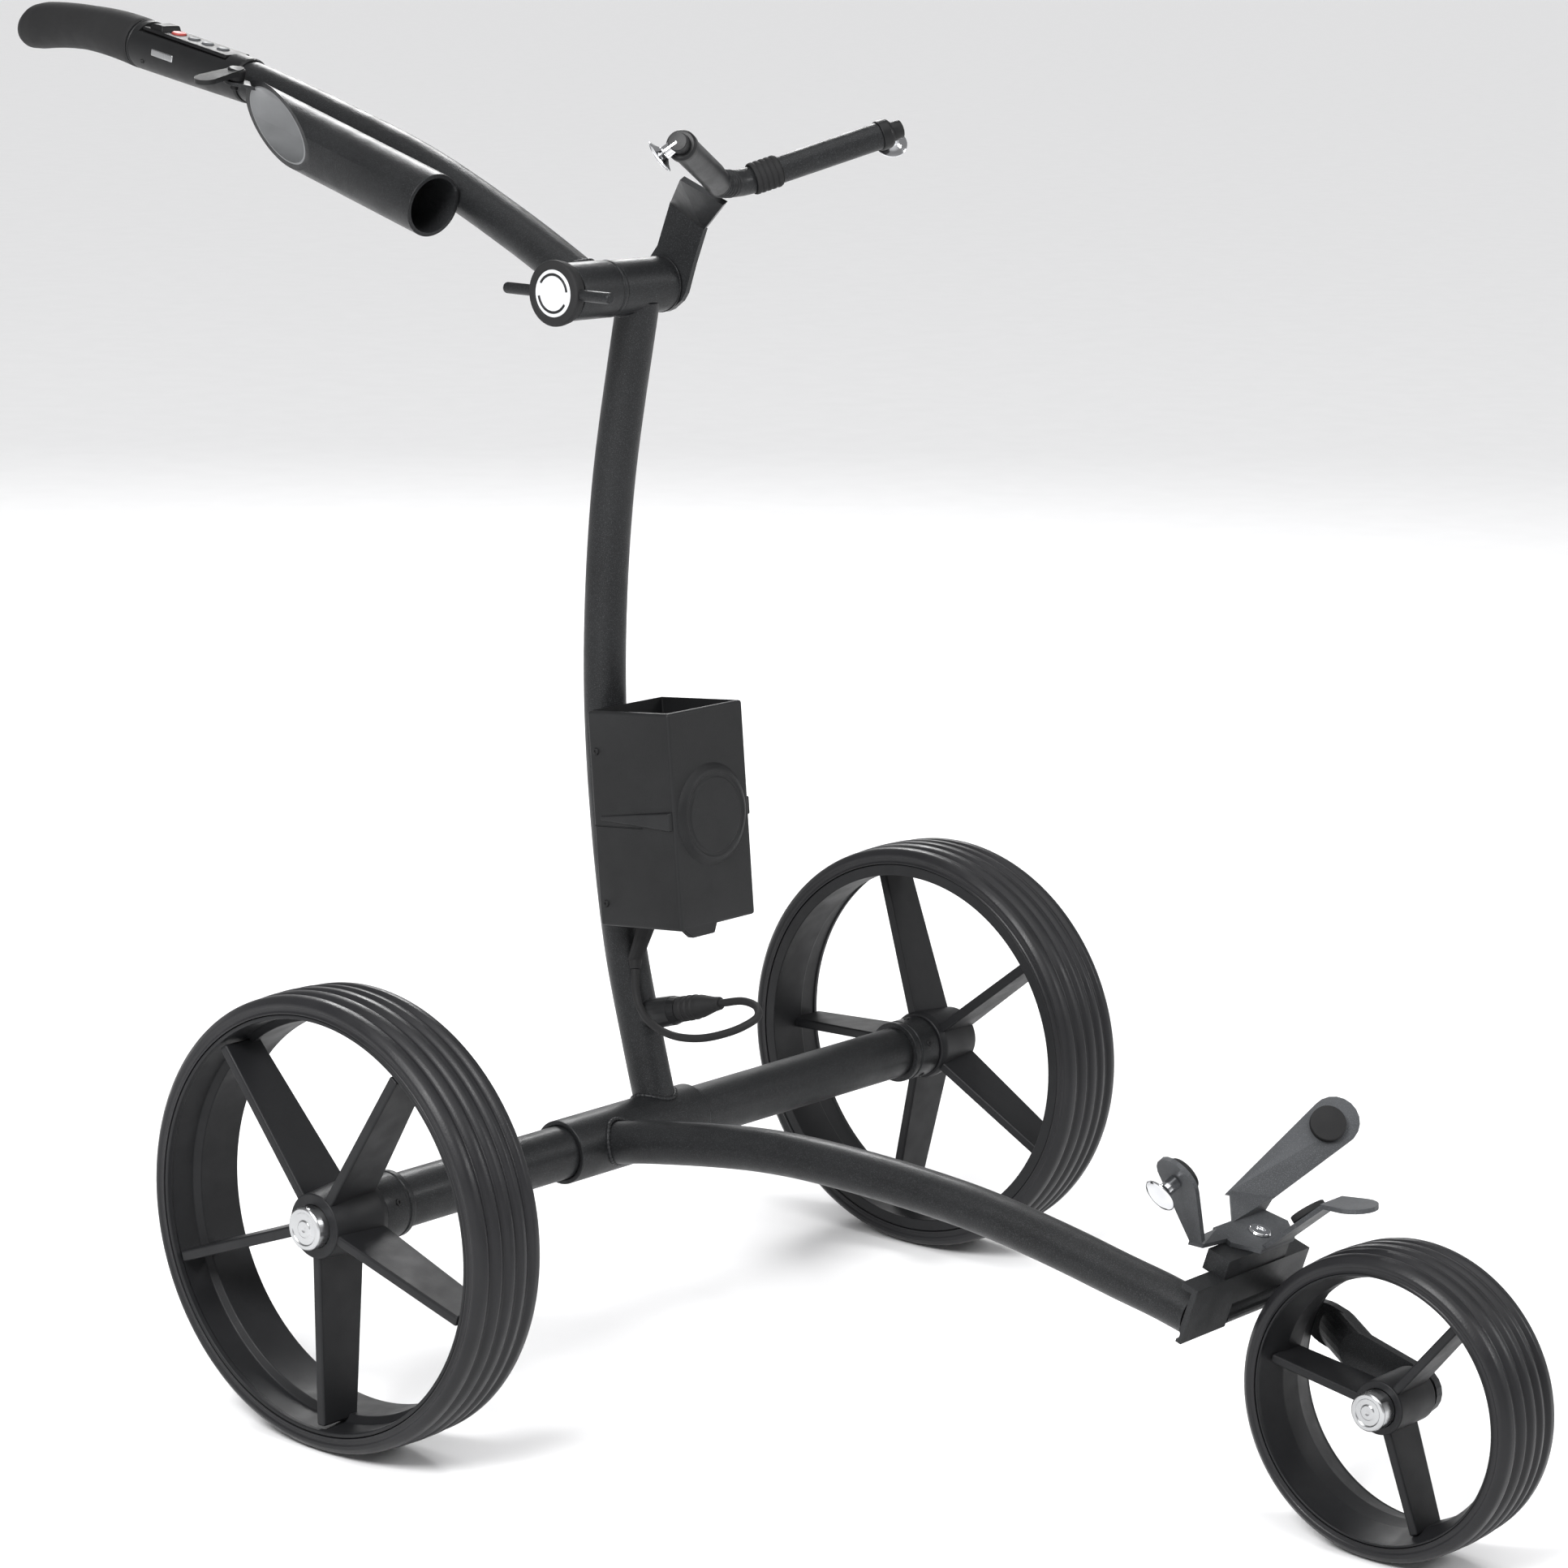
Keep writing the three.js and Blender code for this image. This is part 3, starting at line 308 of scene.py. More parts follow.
def rounded(profile, radius, steps=4):
    """The closed or axis-to-axis outline with its corners filleted."""
    closed = profile[0][1] > 0 or profile[-1][1] > 0
    points = [Vector(p) for p in profile]
    count = len(points)
    result = []
    for i, corner in enumerate(points):
        if not closed and i in (0, count - 1):
            result.append(corner)
            continue
        before = points[i - 1] - corner
        after = points[(i + 1) % count] - corner
        reach = min(radius, before.length * 0.45, after.length * 0.45)
        start = corner + before.normalized() * reach
        end = corner + after.normalized() * reach
        for step in range(steps + 1):
            t = step / steps
            result.append(start.lerp(corner, t).lerp(corner.lerp(end, t), t))
    return [(p.x, p.y) for p in result], closed


def turned(name, profile, origin, axis, fillet=0.6, sides=96, bend=None):
    """A turned piece: profile of (distance along the axis, radius) in millimetres."""
    outline, closed = rounded(profile, fillet)
    axis = Vector(axis).normalized()
    helper = Z_AXIS if abs(axis.z) < 0.9 else X_AXIS
    u = axis.cross(helper).normalized()
    v = axis.cross(u)
    points = []
    rings = []
    for distance, radius in outline:
        centre = axis * distance + (bend(distance) if bend else Vector())
        if radius < 1e-6:
            rings.append([len(points)])
            points.append(Vector(origin) + centre * MM)
            continue
        rings.append(list(range(len(points), len(points) + sides)))
        for k in range(sides):
            angle = FULL_TURN * k / sides
            spot = centre + u * radius * math.cos(angle) + v * radius * math.sin(angle)
            points.append(Vector(origin) + spot * MM)
    pairs = list(zip(rings, rings[1:]))
    if closed:
        pairs.append((rings[-1], rings[0]))
    faces = []
    for first, second in pairs:
        for k in range(sides):
            n = (k + 1) % sides
            corners = [first[k % len(first)], first[n % len(first)],
                       second[n % len(second)], second[k % len(second)]]
            kept = list(dict.fromkeys(corners))
            if len(kept) > 2:
                faces.append(kept)
    return facing_out(piece(name, points, faces))


def smooth_path(points, per_span=10):
    """Points along the centripetal curve through the given ones."""
    ends = [points[0] * 2 - points[1], *points, points[-1] * 2 - points[-2]]
    path = []
    for a, b, c, d in zip(ends, ends[1:], ends[2:], ends[3:]):
        t1 = (b - a).length ** 0.5
        t2 = t1 + (c - b).length ** 0.5
        t3 = t2 + (d - c).length ** 0.5
        for step in range(per_span):
            t = t1 + (t2 - t1) * step / per_span
            ab = a.lerp(b, t / t1)
            bc = b.lerp(c, (t - t1) / (t2 - t1))
            cd = c.lerp(d, (t - t2) / (t3 - t2))
            abc = ab.lerp(bc, t / t2)
            bcd = bc.lerp(cd, (t - t1) / (t3 - t1))
            path.append(abc.lerp(bcd, (t - t1) / (t2 - t1)))
    path.append(points[-1].copy())
    return path


def swept(name, path, radius, sides=40, loop=False, radius_at=None):
    """A round bar along a path of points in metres; radius in millimetres."""
    count = len(path)
    points = []
    side = None
    for i, here in enumerate(path):
        ahead = path[(i + 1) % count] if loop else path[min(i + 1, count - 1)]
        behind = path[i - 1] if loop or i else path[0]
        along = (ahead - behind).normalized()
        if side is None:
            side = along.cross(X_AXIS if abs(along.x) < 0.9 else Z_AXIS)
        side = (side - along * side.dot(along)).normalized()
        over = along.cross(side)
        r = (radius_at(i / count) if radius_at else radius) * MM
        for k in range(sides):
            angle = FULL_TURN * k / sides
            points.append(here + (side * math.cos(angle) + over * math.sin(angle)) * r)
    faces = []
    for i in range(count if loop else count - 1):
        a = i * sides
        b = ((i + 1) % count) * sides
        for k in range(sides):
            n = (k + 1) % sides
            faces.append((a + k, a + n, b + n, b + k))
    if not loop:
        faces.append(tuple(range(sides)))
        faces.append(tuple(range(len(points) - sides, len(points))))
    return facing_out(consistent(piece(name, points, faces)))


def consistent(made):
    """Makes all faces of a closed mesh turn the same way."""
    mesh = bmesh.new()
    mesh.from_mesh(made.data)
    bmesh.ops.recalc_face_normals(mesh, faces=mesh.faces)
    mesh.to_mesh(made.data)
    mesh.free()
    return made


def block(name, spots, soft=0.8):
    """The convex body round some points in metres, with softened edges (millimetres)."""
    mesh = bmesh.new()
    for spot in spots:
        mesh.verts.new(spot)
    hull = bmesh.ops.convex_hull(mesh, input=mesh.verts)
    spare = [g for g in hull["geom_interior"] + hull["geom_unused"] if isinstance(g, bmesh.types.BMVert)]
    bmesh.ops.delete(mesh, geom=list(set(spare)), context="VERTS")
    bmesh.ops.dissolve_limit(mesh, angle_limit=0.02, verts=mesh.verts, edges=mesh.edges)
    if soft:
        sharp = [e for e in mesh.edges if e.calc_face_angle(0) > 0.5]
        bmesh.ops.bevel(mesh, geom=sharp, offset=soft * MM, segments=3, profile=0.5, affect="EDGES",
                        clamp_overlap=True)
    bmesh.ops.recalc_face_normals(mesh, faces=mesh.faces)
    data = bpy.data.meshes.new(name)
    mesh.to_mesh(data)
    mesh.free()
    data.shade_smooth()
    data.set_sharp_from_angle(angle=math.radians(35))
    made = bpy.data.objects.new(name, data)
    bpy.context.collection.objects.link(made)
    return made


def mended(data):
    """Merges doubled points, drops faces without area and closes pinholes left by a cut."""
    mesh = bmesh.new()
    mesh.from_mesh(data)
    bmesh.ops.remove_doubles(mesh, verts=mesh.verts, dist=0.004 * MM)
    bmesh.ops.dissolve_degenerate(mesh, dist=0.004 * MM, edges=mesh.edges)
    for _ in range(3):
        crowded = [face for edge in mesh.edges if len(edge.link_faces) > 2
                   for face in sorted(edge.link_faces, key=lambda f: f.calc_area())[:1]]
        bmesh.ops.delete(mesh, geom=list(set(crowded)), context="FACES")
        rims = [edge for edge in mesh.edges if edge.is_boundary]
        bmesh.ops.holes_fill(mesh, edges=rims, sides=0)
    bmesh.ops.delete(mesh, geom=[v for v in mesh.verts if not v.link_faces], context="VERTS")
    bmesh.ops.recalc_face_normals(mesh, faces=mesh.faces)
    mesh.to_mesh(data)
    mesh.free()
    return data


def combined(base, added=(), removed=()):
    """Joins and cuts closed pieces into one; the tools are used up."""
    tools = [(tool, "UNION") for tool in added] + [(tool, "DIFFERENCE") for tool in removed]
    for tool, operation in tools:
        modifier = base.modifiers.new("boolean", "BOOLEAN")
        modifier.operation = operation
        modifier.solver = "EXACT"
        modifier.object = tool
    result = base.evaluated_get(bpy.context.evaluated_depsgraph_get())
    data = mended(bpy.data.meshes.new_from_object(result))
    base.modifiers.clear()
    base.data = data
    for tool, _ in tools:
        bpy.data.objects.remove(tool)
    data.shade_smooth()
    data.set_sharp_from_angle(angle=math.radians(35))
    return flat_faces_even(base)


def flat_faces_even(made):
    """Large flat faces shade flat right up to their rounded edges."""
    weighted = made.modifiers.new("even flat faces", "WEIGHTED_NORMAL")
    weighted.keep_sharp = True
    weighted.weight = 80
    return made


def dress(made, slot, body):
    made.data.materials.clear()
    made.data.materials.append(LOOKS[slot])
    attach(made, body)
    return made


def stands_for(made, node):
    dress(made, SLOT_OF[node], BODY_OF[node])
    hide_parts(node)
    return made


def trim(made, slot, beside):
    """A small extra piece that goes with a CAD node's body."""
    return dress(made, slot, BODY_OF[beside])


# ---------------------------------------------------------------- battery lead
PLUG_AXIS = Vector((0, -0.957, 0.29)).normalized()
PLUG_ROOT = at(0, 21.5, 222)
LEAD_R = 2.7


def add_cord():
    """The free lead from the strain relief under the battery holder to its plug."""
    route = [(-11, 13.8, 258.4), (-14, 10.8, 247), (-16.5, 4.5, 235), (-20, -9, 226.5),
             (-24, -31, 223), (-27, -57, 226), (-27, -78, 232.5), (-22, -92.5, 239.5),
             (-12.5, -97.5, 245.5), (-4, -89.5, 249.5), (-0.5, -75, 250.2)]
    plug_end = PLUG_ROOT + PLUG_AXIS * (79.35 * MM)
    path = smooth_path([at(*p) for p in route] + [plug_end], 8)
    lead = swept("battery_lead", path, LEAD_R, 24)
    stands_for(lead, "battery_cable")
    plug = turned("battery_plug", [(42.4, 0), (42.4, 8.8), (47, 8.8), (47.6, 8.2), (49.6, 8.2),
                  (50.2, 8.8), (52.2, 8.8), (52.8, 8.1), (54.8, 8.1), (55.4, 8.6), (57.4, 8.6),
                  (58, 8), (62, 7.9), (74, 5), (79, 4.4), (79, 0)], PLUG_ROOT, PLUG_AXIS, 0.5, 64)
    stands_for(plug, "cable_plug")


# ---------------------------------------------------------------- CAD nodes that stay
def smooth_by_angle():
    """Modifier nodes that shade faces smooth and keep edges over 35 degrees sharp."""
    group = bpy.data.node_groups.new("smooth_by_angle", "GeometryNodeTree")
    for in_out in ("INPUT", "OUTPUT"):
        group.interface.new_socket("Geometry", in_out=in_out, socket_type="NodeSocketGeometry")
    nodes = group.nodes
    source = nodes.new("NodeGroupInput")
    target = nodes.new("NodeGroupOutput")
    faces = nodes.new("GeometryNodeSetShadeSmooth")
    edges = nodes.new("GeometryNodeSetShadeSmooth")
    edges.domain = "EDGE"
    edges.inputs["Shade Smooth"].default_value = False
    angle = nodes.new("GeometryNodeInputMeshEdgeAngle")
    above = nodes.new("FunctionNodeCompare")
    above.data_type = "FLOAT"
    above.operation = "GREATER_THAN"
    above.inputs[1].default_value = math.radians(35)
    group.links.new(source.outputs[0], faces.inputs["Geometry"])
    group.links.new(faces.outputs[0], edges.inputs["Geometry"])
    group.links.new(angle.outputs["Unsigned Angle"], above.inputs[0])
    group.links.new(above.outputs[0], edges.inputs["Selection"])
    group.links.new(edges.outputs[0], target.inputs[0])
    return group


def refine(node, group, soft):
    """Softened edges and the right finish on a CAD node whose shape is kept."""
    thing = frame["nodes"][node]
    thing.data.materials.clear()
    thing.data.materials.append(LOOKS["plate_paint" if node == "cradle" else SLOT_OF[node]])
    if soft:
        flat = thing.modifiers.new("merge flat faces", "DECIMATE")
        flat.decimate_type = "DISSOLVE"
        flat.angle_limit = math.radians(1)
        edge = thing.modifiers.new("soft edges", "BEVEL")
        edge.width = soft * MM
        edge.segments = 2
        edge.limit_method = "ANGLE"
        edge.angle_limit = math.radians(40)
    shade = thing.modifiers.new("shade", "NODES")
    shade.node_group = group
    if soft:
        flat_faces_even(thing)


def refine_kept_nodes():
    group = smooth_by_angle()
    soft = {"front_bracket": 0.7, "front_fork": 0.7, "cradle": 0.6, "bag_arm": 0.6, "battery_box": 0.8,
            "battery_pack": 0.6}
    for node in frame["nodes"]:
        refine(node, group, soft.get(node, 0))


# ---------------------------------------------------------------- wheels
def crowned_section(half, radius, bore, grooves):
    """Half section of a ribbed tyre, closed: flat bore, sidewalls, crowned tread with grooves."""
    crown = lambda x: radius - 2 * abs(x) / (half - 3)
    outline = [(-half, bore), (-half, radius - 12), (-half + 0.8, radius - 11), (-half + 0.8, radius - 9),
               (-half, radius - 8), (-half, radius - 6), (-half + 3, radius - 2)]
    for x in grooves:
        outline += [(x - 3.4, crown(x) - 0.1), (x - 0.9, crown(x) - 2.6)]
        outline += [(x + 0.9, crown(x) - 2.6), (x + 3.4, crown(x) - 0.1)]
    return outline + [(-x, r) for x, r in outline[6::-1]]


def hub_key(name, node, centre, axis, radius, face, back):
    """Bright release key: dished face with two turned rings."""
    profile = [(back, 0), (back, radius), (face - 1, radius), (face, radius - 1), (face, radius - 3.2),
               (face - 0.7, radius - 3.8), (face - 0.7, radius * 0.42), (face, radius * 0.36),
               (face, radius * 0.16), (face - 0.8, 0)]
    stands_for(turned(name, profile, centre, axis, 0.35), node)


def spoke(name, centre, outward, angle, inner, outer, hub_x, rim_x, thickness):
    """A flat blade: wide along the axle, thin round it. Distances along outward are negative inside."""
    radial = Vector((0, -math.sin(angle), -math.cos(angle)))
    if outward.x > 0:
        radial.y = -radial.y
    round_it = outward.cross(radial).normalized()
    spots = []
    for r, span in ((inner, hub_x), (outer, rim_x)):
        for x in span:
            for t in (-thickness / 2, thickness / 2):
                spots.append(centre + (radial * r - outward * x + round_it * t) * MM)
    return block(name, spots, 1.6)


def add_rear_wheel(side, label, first_spoke):
    centre = middle(f"rear_tyre_{label}")
    outward = X_AXIS * side
    tyre = crowned_section(REAR_HALF_WIDTH, REAR_TYRE_R, REAR_BORE_R, (-17, -5.8, 5.8, 17))
    stands_for(turned(f"tyre_{label}", tyre, centre, outward, 2.2, 160), f"rear_tyre_{label}")
    ring = [(28.6, 134), (28.6, 136.6), (-28.6, 136.6), (-28.6, 128.5), (4, 128.5), (7, 133.2),
            (24, 134.6), (25, 133.4)]
    rim = turned(f"rim_{label}", ring, centre, outward, 0.9, 160)
    hub = [(26, 0), (26, 21.2), (-12.3, 25), (-17.3, 23.6), (-17.3, 0)]
    boss = turned("boss", hub, centre, outward, 1.2, 80)
    angles = [math.radians(first_spoke + 360 / REAR_SPOKES * i) for i in range(REAR_SPOKES)]
    blades = [spoke("blade", centre, outward, angle, 14, 131.5, (-25, 15), (-27, 3), 7) for angle in angles]
    recess = turned("recess", [(13, 0), (13, 14.4), (60, 14.4), (60, 0)], centre, outward, 0)
    bore = turned("bore", [(-60, 0), (-60, 5.4), (20, 5.4), (20, 0)], centre, outward, 0, 48)
    stands_for(combined(rim, [boss, *blades], [recess, bore]), f"rear_rim_{label}")
    hub_key(f"hub_key_{label}", f"wheel_button_{label}", centre, outward, 14, 35, 16.4)


def add_front_wheel():
    centre = middle("front_tyre")
    outward = -X_AXIS
    tyre = crowned_section(FRONT_HALF_WIDTH, FRONT_TYRE_R, FRONT_BORE_R, (-16.5, -5.6, 5.6, 16.5))
    stands_for(turned("tyre_front", tyre, centre, outward, 2.2, 144), "front_tyre")
    ring = [(28.4, 83), (28.4, 84.6), (-28.4, 84.6), (-28.4, 83), (-26, 83), (-8, 77.5), (8, 77.5),
            (26, 83)]
    rim = turned("rim_front", ring, centre, outward, 0.8, 144)
    boss = turned("boss", [(21, 0), (21, 17), (-17, 17), (-17, 0)], centre, outward, 1.2, 72)
    angles = [math.radians(21 + 360 / FRONT_SPOKES * i) for i in range(FRONT_SPOKES)]
    blades = [spoke("blade", centre, outward, angle, 10, 80, (-20, 12), (-20, 8), 6) for angle in angles]
    recess = turned("recess", [(10, 0), (10, 12.4), (60, 12.4), (60, 0)], centre, outward, 0)
    bore = turned("bore", [(-60, 0), (-60, 5.4), (20, 5.4), (20, 0)], centre, outward, 0, 48)
    stands_for(combined(rim, [boss, *blades], [recess, bore]), "front_rim")
    hub_key("hub_key_front", "front_wheel_button", centre, outward, 12, 33, 13.4)


# ---------------------------------------------------------------- tubes of the frame
def along_x(name, profile, y, z, slot_node, fillet=0.6, sides=96):
    return stands_for(turned(name, profile, at(0, y, z), X_AXIS, fillet, sides), slot_node)


def weld(name, host, x, direction, host_radius, tube_radius, beside):
    """Rippled bead where a tube meets a round crosswise bar."""
    d = Vector(direction).normalized()
    e = d.cross(X_AXIS)
    path = []
    for k in range(120):
        angle = FULL_TURN * k / 120
        off = tube_radius * math.sin(angle)
        reach = math.sqrt(max(host_radius ** 2 - off ** 2, 0))
        path.append(at(x, *host) + (X_AXIS * tube_radius * math.cos(angle) + e * off + d * reach) * MM)
    bead = swept(name, path, 1.5, 12, True, lambda t: 1.5 + 0.22 * math.sin(FULL_TURN * 34 * t))
    return trim(bead, "frame_paint", beside)


def add_axle():
    along_x("drive_tube", [(-257.5, 15.6), (-257.5, 18.2), (257.5, 18.2), (257.5, 15.6)], 0, AXLE_Z,
            "axle_tube", 0.6, 120)
    sleeve = [(-100, 18.5), (-100, 21.75), (30, 21.75), (30, 18.5)]
    along_x("sleeve", sleeve, 0, AXLE_Z, "axle_sleeve", 0.9, 120)
    for side, label in ((-1, "left"), (1, "right")):
        end = [(248, 6.5), (248, 15.2), (257.9, 15.2), (257.9, 22), (262, 22), (262.6, 21.3), (264, 21.3),
               (264.6, 22), (284, 22), (284, 13.4), (273, 13.4), (273, 6.5)]
        collar = turned(f"collar_{label}", end, at(0, 0, AXLE_Z), X_AXIS * side, 0.7, 120)
        stands_for(collar, f"axle_collar_{label}")


MAST = [(0, 1, 156), (0, 16, 206.6), (0, 33.7, 272.5), (0, 50, 380), (0, 55.3, 473), (0, 49.6, 585),
        (0, 30.5, 704)]
BOOM = [(-60, -12, 151), (-60, -45, 158), (-60, -141, 172.5), (-60, -207, 175.5), (-60, -314, 171.5),
        (-60, -378, 163), (-60, -440, 151.5), (-60, -468, 146.5), (-60, -492, 141)]
HANDLE = [(31, 722.7), (104, 755.5), (201, 792.5), (300, 819.5), (370, 836.3), (404, 843.4)]


HANDLE_X = -43                       # where the handle tube leaves the hinge
HANDLE_NEAR, HANDLE_FAR = 31, 522    # it has leaned in to the middle plane at the far one


def handle_point(y, z):
    """A place on the handle's axis, which leans in evenly towards the middle plane."""
    leaned = (y - HANDLE_NEAR) / (HANDLE_FAR - HANDLE_NEAR)
    return at(HANDLE_X * (1 - leaned), y, z)


def add_tubes():
    axle_cut = lambda: turned("axle cut", [(-120, 0), (-120, 21.5), (120, 21.5), (120, 0)],
                              at(0, 0, AXLE_Z), X_AXIS, 0)
    hinge_cut = lambda radius: turned("hinge cut", [(-120, 0), (-120, radius), (120, radius), (120, 0)],
                                      at(0, HINGE.y, HINGE.z), X_AXIS, 0)
    mast = swept("mast", smooth_path([at(*p) for p in MAST] + [at(0, 29, 714)]), TUBE_R, 64)
    stands_for(combined(mast, removed=[axle_cut(), hinge_cut(18.4)]), "mast_tube")
    boom = swept("boom", smooth_path([at(*p) for p in BOOM]), TUBE_R, 64)
    stands_for(combined(boom, removed=[axle_cut()]), "boom_tube")
    handle = swept("handle", smooth_path([handle_point(*p) for p in HANDLE]), TUBE_R, 64)
    stands_for(combined(handle, removed=[hinge_cut(18.9)]), "handle_tube")
    weld("weld_mast_foot", (0, AXLE_Z), 0, (0, 0.26, 0.965), 22.1, 15, "mast_tube")
    weld("weld_boom", (0, AXLE_Z), -60, (0, -0.985, 0.17), 22.1, 15, "boom_tube")
    weld("weld_mast_head", (HINGE.y, HINGE.z), 0, (0, 0.1, -0.995), 19, 14.9, "mast_tube")
    weld("weld_handle", (HINGE.y, HINGE.z), -42, (0, 0.915, 0.404), 19.5, 14.9, "handle_tube")


# ---------------------------------------------------------------- hinge
def add_hinge():
    y, z = HINGE.y, HINGE.z
    fixed = [(-27.25, 4.4), (-27.25, 18.6), (23.2, 18.6), (23.2, 19.1), (24.8, 19.1), (24.8, 4.4)]
    along_x("barrel_fixed", fixed, y, z, "hinge_barrel_fixed", 0.7)
    moving = [(-70, 4.4), (-70, 19.1), (-33, 19.1), (-32.2, 18.5), (-31, 18.5), (-30.2, 19.1),
              (-27.6, 19.1), (-27.6, 4.4)]
    along_x("barrel_moving", moving, y, z, "hinge_barrel_moving", 0.7)
    rim = [(-71, 0), (-71, 19), (-73, 20.8), (-78, 21.8), (-80.5, 21.8), (-81.5, 20.6), (-81.5, 16.6),
           (-80.9, 16), (-80.9, 0)]
    knob = turned("clamp_wheel", rim, at(0, y, z), X_AXIS, 0.6, 120)
    bore = turned("bar bore", [(-60, 0), (-60, 3.9), (60, 3.9), (60, 0)], at(-76, y, z), (0, 1, 0), 0)
    stands_for(combined(knob, removed=[bore]), "clamp_knob")
    bar = turned("clamp_handle", [(-47, 0), (-47, 3.2), (-45.6, 3.8), (45.6, 3.8), (47, 3.2), (47, 0)],
                 at(-76, y, z), (0, 1, 0), 1.0, 48)
    stands_for(bar, "clamp_bar")
    plate = [(-81.25, 0), (-81.25, 15.2), (-80.95, 15.6), (-80.95, 0)]
    badge = turned("clamp_badge", plate, at(0, y, z), X_AXIS, 0.1)
    trim(badge, "key_grey", "clamp_knob")
    badge.data.materials[0] = LOOKS["badge"]
    for first, last in ((0.55, 3.0), (3.7, 6.1)):
        path = []
        for k in range(25):
            angle = first + (last - first) * k / 24
            path.append(at(-81.2, y + 12.4 * math.cos(angle), z + 12.4 * math.sin(angle)))
        trim(swept(f"badge_arc_{int(first)}", path, 0.9, 12), "black_plastic", "clamp_knob")


# ---------------------------------------------------------------- controls and grip
HOUSING_START, HOUSING_END = (389, 840.5), (513.5, 861.5)


def housing_axis():
    start, end = handle_point(*HOUSING_START), handle_point(*HOUSING_END)
    along = (end - start).normalized()
    up = (Z_AXIS - along * along.dot(Z_AXIS)).normalized()
    return start, along, up, (end - start).length / MM


def add_controls():
    start, along, up, length = housing_axis()
    side = up.cross(along)
    spot = lambda s, a, u: start + (along * s + side * a + up * u) * MM
    outline = [(0, 0), (0, 15.4), (2, 16.2), (60, 17.2), (length - 4, 17.9), (length - 3.4, 17.3),
               (length - 2.4, 17.3), (length - 1.8, 17.9), (length, 17.6), (length, 0)]
    shell = turned("housing", outline, start, along, 0.5, 120)
    flat = block("flat", [spot(s, a, u) for s in (18, 118) for a in (-30, 30) for u in (11.6, 32)], 0)
    pocket = block("pocket", [spot(s, a, u) for s in (26, 110) for a in (-9, 9) for u in (0.5, 12)], 0)
    bore = turned("bore", [(-5, 0), (-5, 15.1), (16.4, 15.1), (16.4, 0)], start, along, 0)
    stands_for(combined(shell, removed=[flat, pocket, bore]), "control_housing")
    panel = block("panel", [spot(s, a, u) for s in (19, 117) for a in (-11, 11) for u in (12.1, 15.1)], 1.1)
    hood = block("hood", [spot(96, -9, 14), spot(96, 9, 14), spot(113, -9, 14), spot(113, 9, 14),
                 spot(98, -8, 19), spot(98, 8, 19), spot(110, -8, 18.6), spot(110, 8, 18.6)], 1.2)
    keys = (("power", 88, 5.5), ("faster", 70, 4.5), ("slower", 54, 4.5), ("timer", 36, 4.5))
    wells = [turned("well", [(8, 0), (8, r + 0.35), (20, r + 0.35), (20, 0)], spot(s, 0, 0), up, 0, 64)
             for _, s, r in keys]
    stands_for(combined(panel, [hood], wells), "control_panel")
    for name, s, r in keys:
        cap = [(12.6, 0), (12.6, r), (15.9, r), (16.6, r - 0.9), (16.3, r * 0.5), (16.2, 0)]
        stands_for(turned(f"{name}_cap", cap, spot(s, 0, 0), up, 0.4, 64), f"{name}_button")
    port_spots = [spot(s, a, u) for s in (71, 96) for a in (15, 17.95) for u in (-1.6, 3.4)]
    port = block("port_plate", port_spots, 0.8)
    trim(port, "bright_aluminium", "control_housing")
    screw("housing_screw", spot(108, 15.2, -8.6), side * 0.87 - up * 0.49, "control_housing", 1.9)
    seam = turned("grip_seam", [(-0.1, 15), (-0.1, 18.05), (0.5, 18.05), (0.5, 15)],
                  start + along * length * MM, along, 0.1, 120)
    trim(seam, "black_plastic", "control_housing")
    rise = lambda s: up * (0.045 * s - 0.0012 * s * s)
    grip_outline = [(0.35, 0), (0.35, 17.6), (3, 18.2), (34, 17.4), (66, 16.4), (94, 16.9), (120, 17.6),
                    (132, 16.6), (139, 13), (143.5, 7.5), (144.5, 0)]
    fine = []
    for (s0, r0), (s1, r1) in zip(grip_outline[2:-4], grip_outline[3:-3]):
        steps = max(1, round((s1 - s0) / 6))
        fine += [(s0 + (s1 - s0) * k / steps, r0 + (r1 - r0) * k / steps) for k in range(steps)]
    outline = grip_outline[:2] + fine + grip_outline[-4:]
    grip = turned("grip", outline, start + along * length * MM, along, 2.2, 120, rise)
    stands_for(grip, "handle_grip")


# ---------------------------------------------------------------- battery holder and V bracket
BOX_PLACE, BOX_LEAN = (0, -7.2, 369.5), -6
VEE_TIP, VEE_APEX = (96.7, -94.9, 825.1), (0, -46.3, 792.3)


def screw(name, place, axis, beside, radius=2.6):
    dome = [(0, 0), (0, radius), (1.1, radius * 0.8), (1.1, radius * 0.42), (0.4, radius * 0.36), (0.4, 0)]
    head = turned(name, dome, place, axis, 0.15, 32)
    return trim(head, "black_plastic", beside)


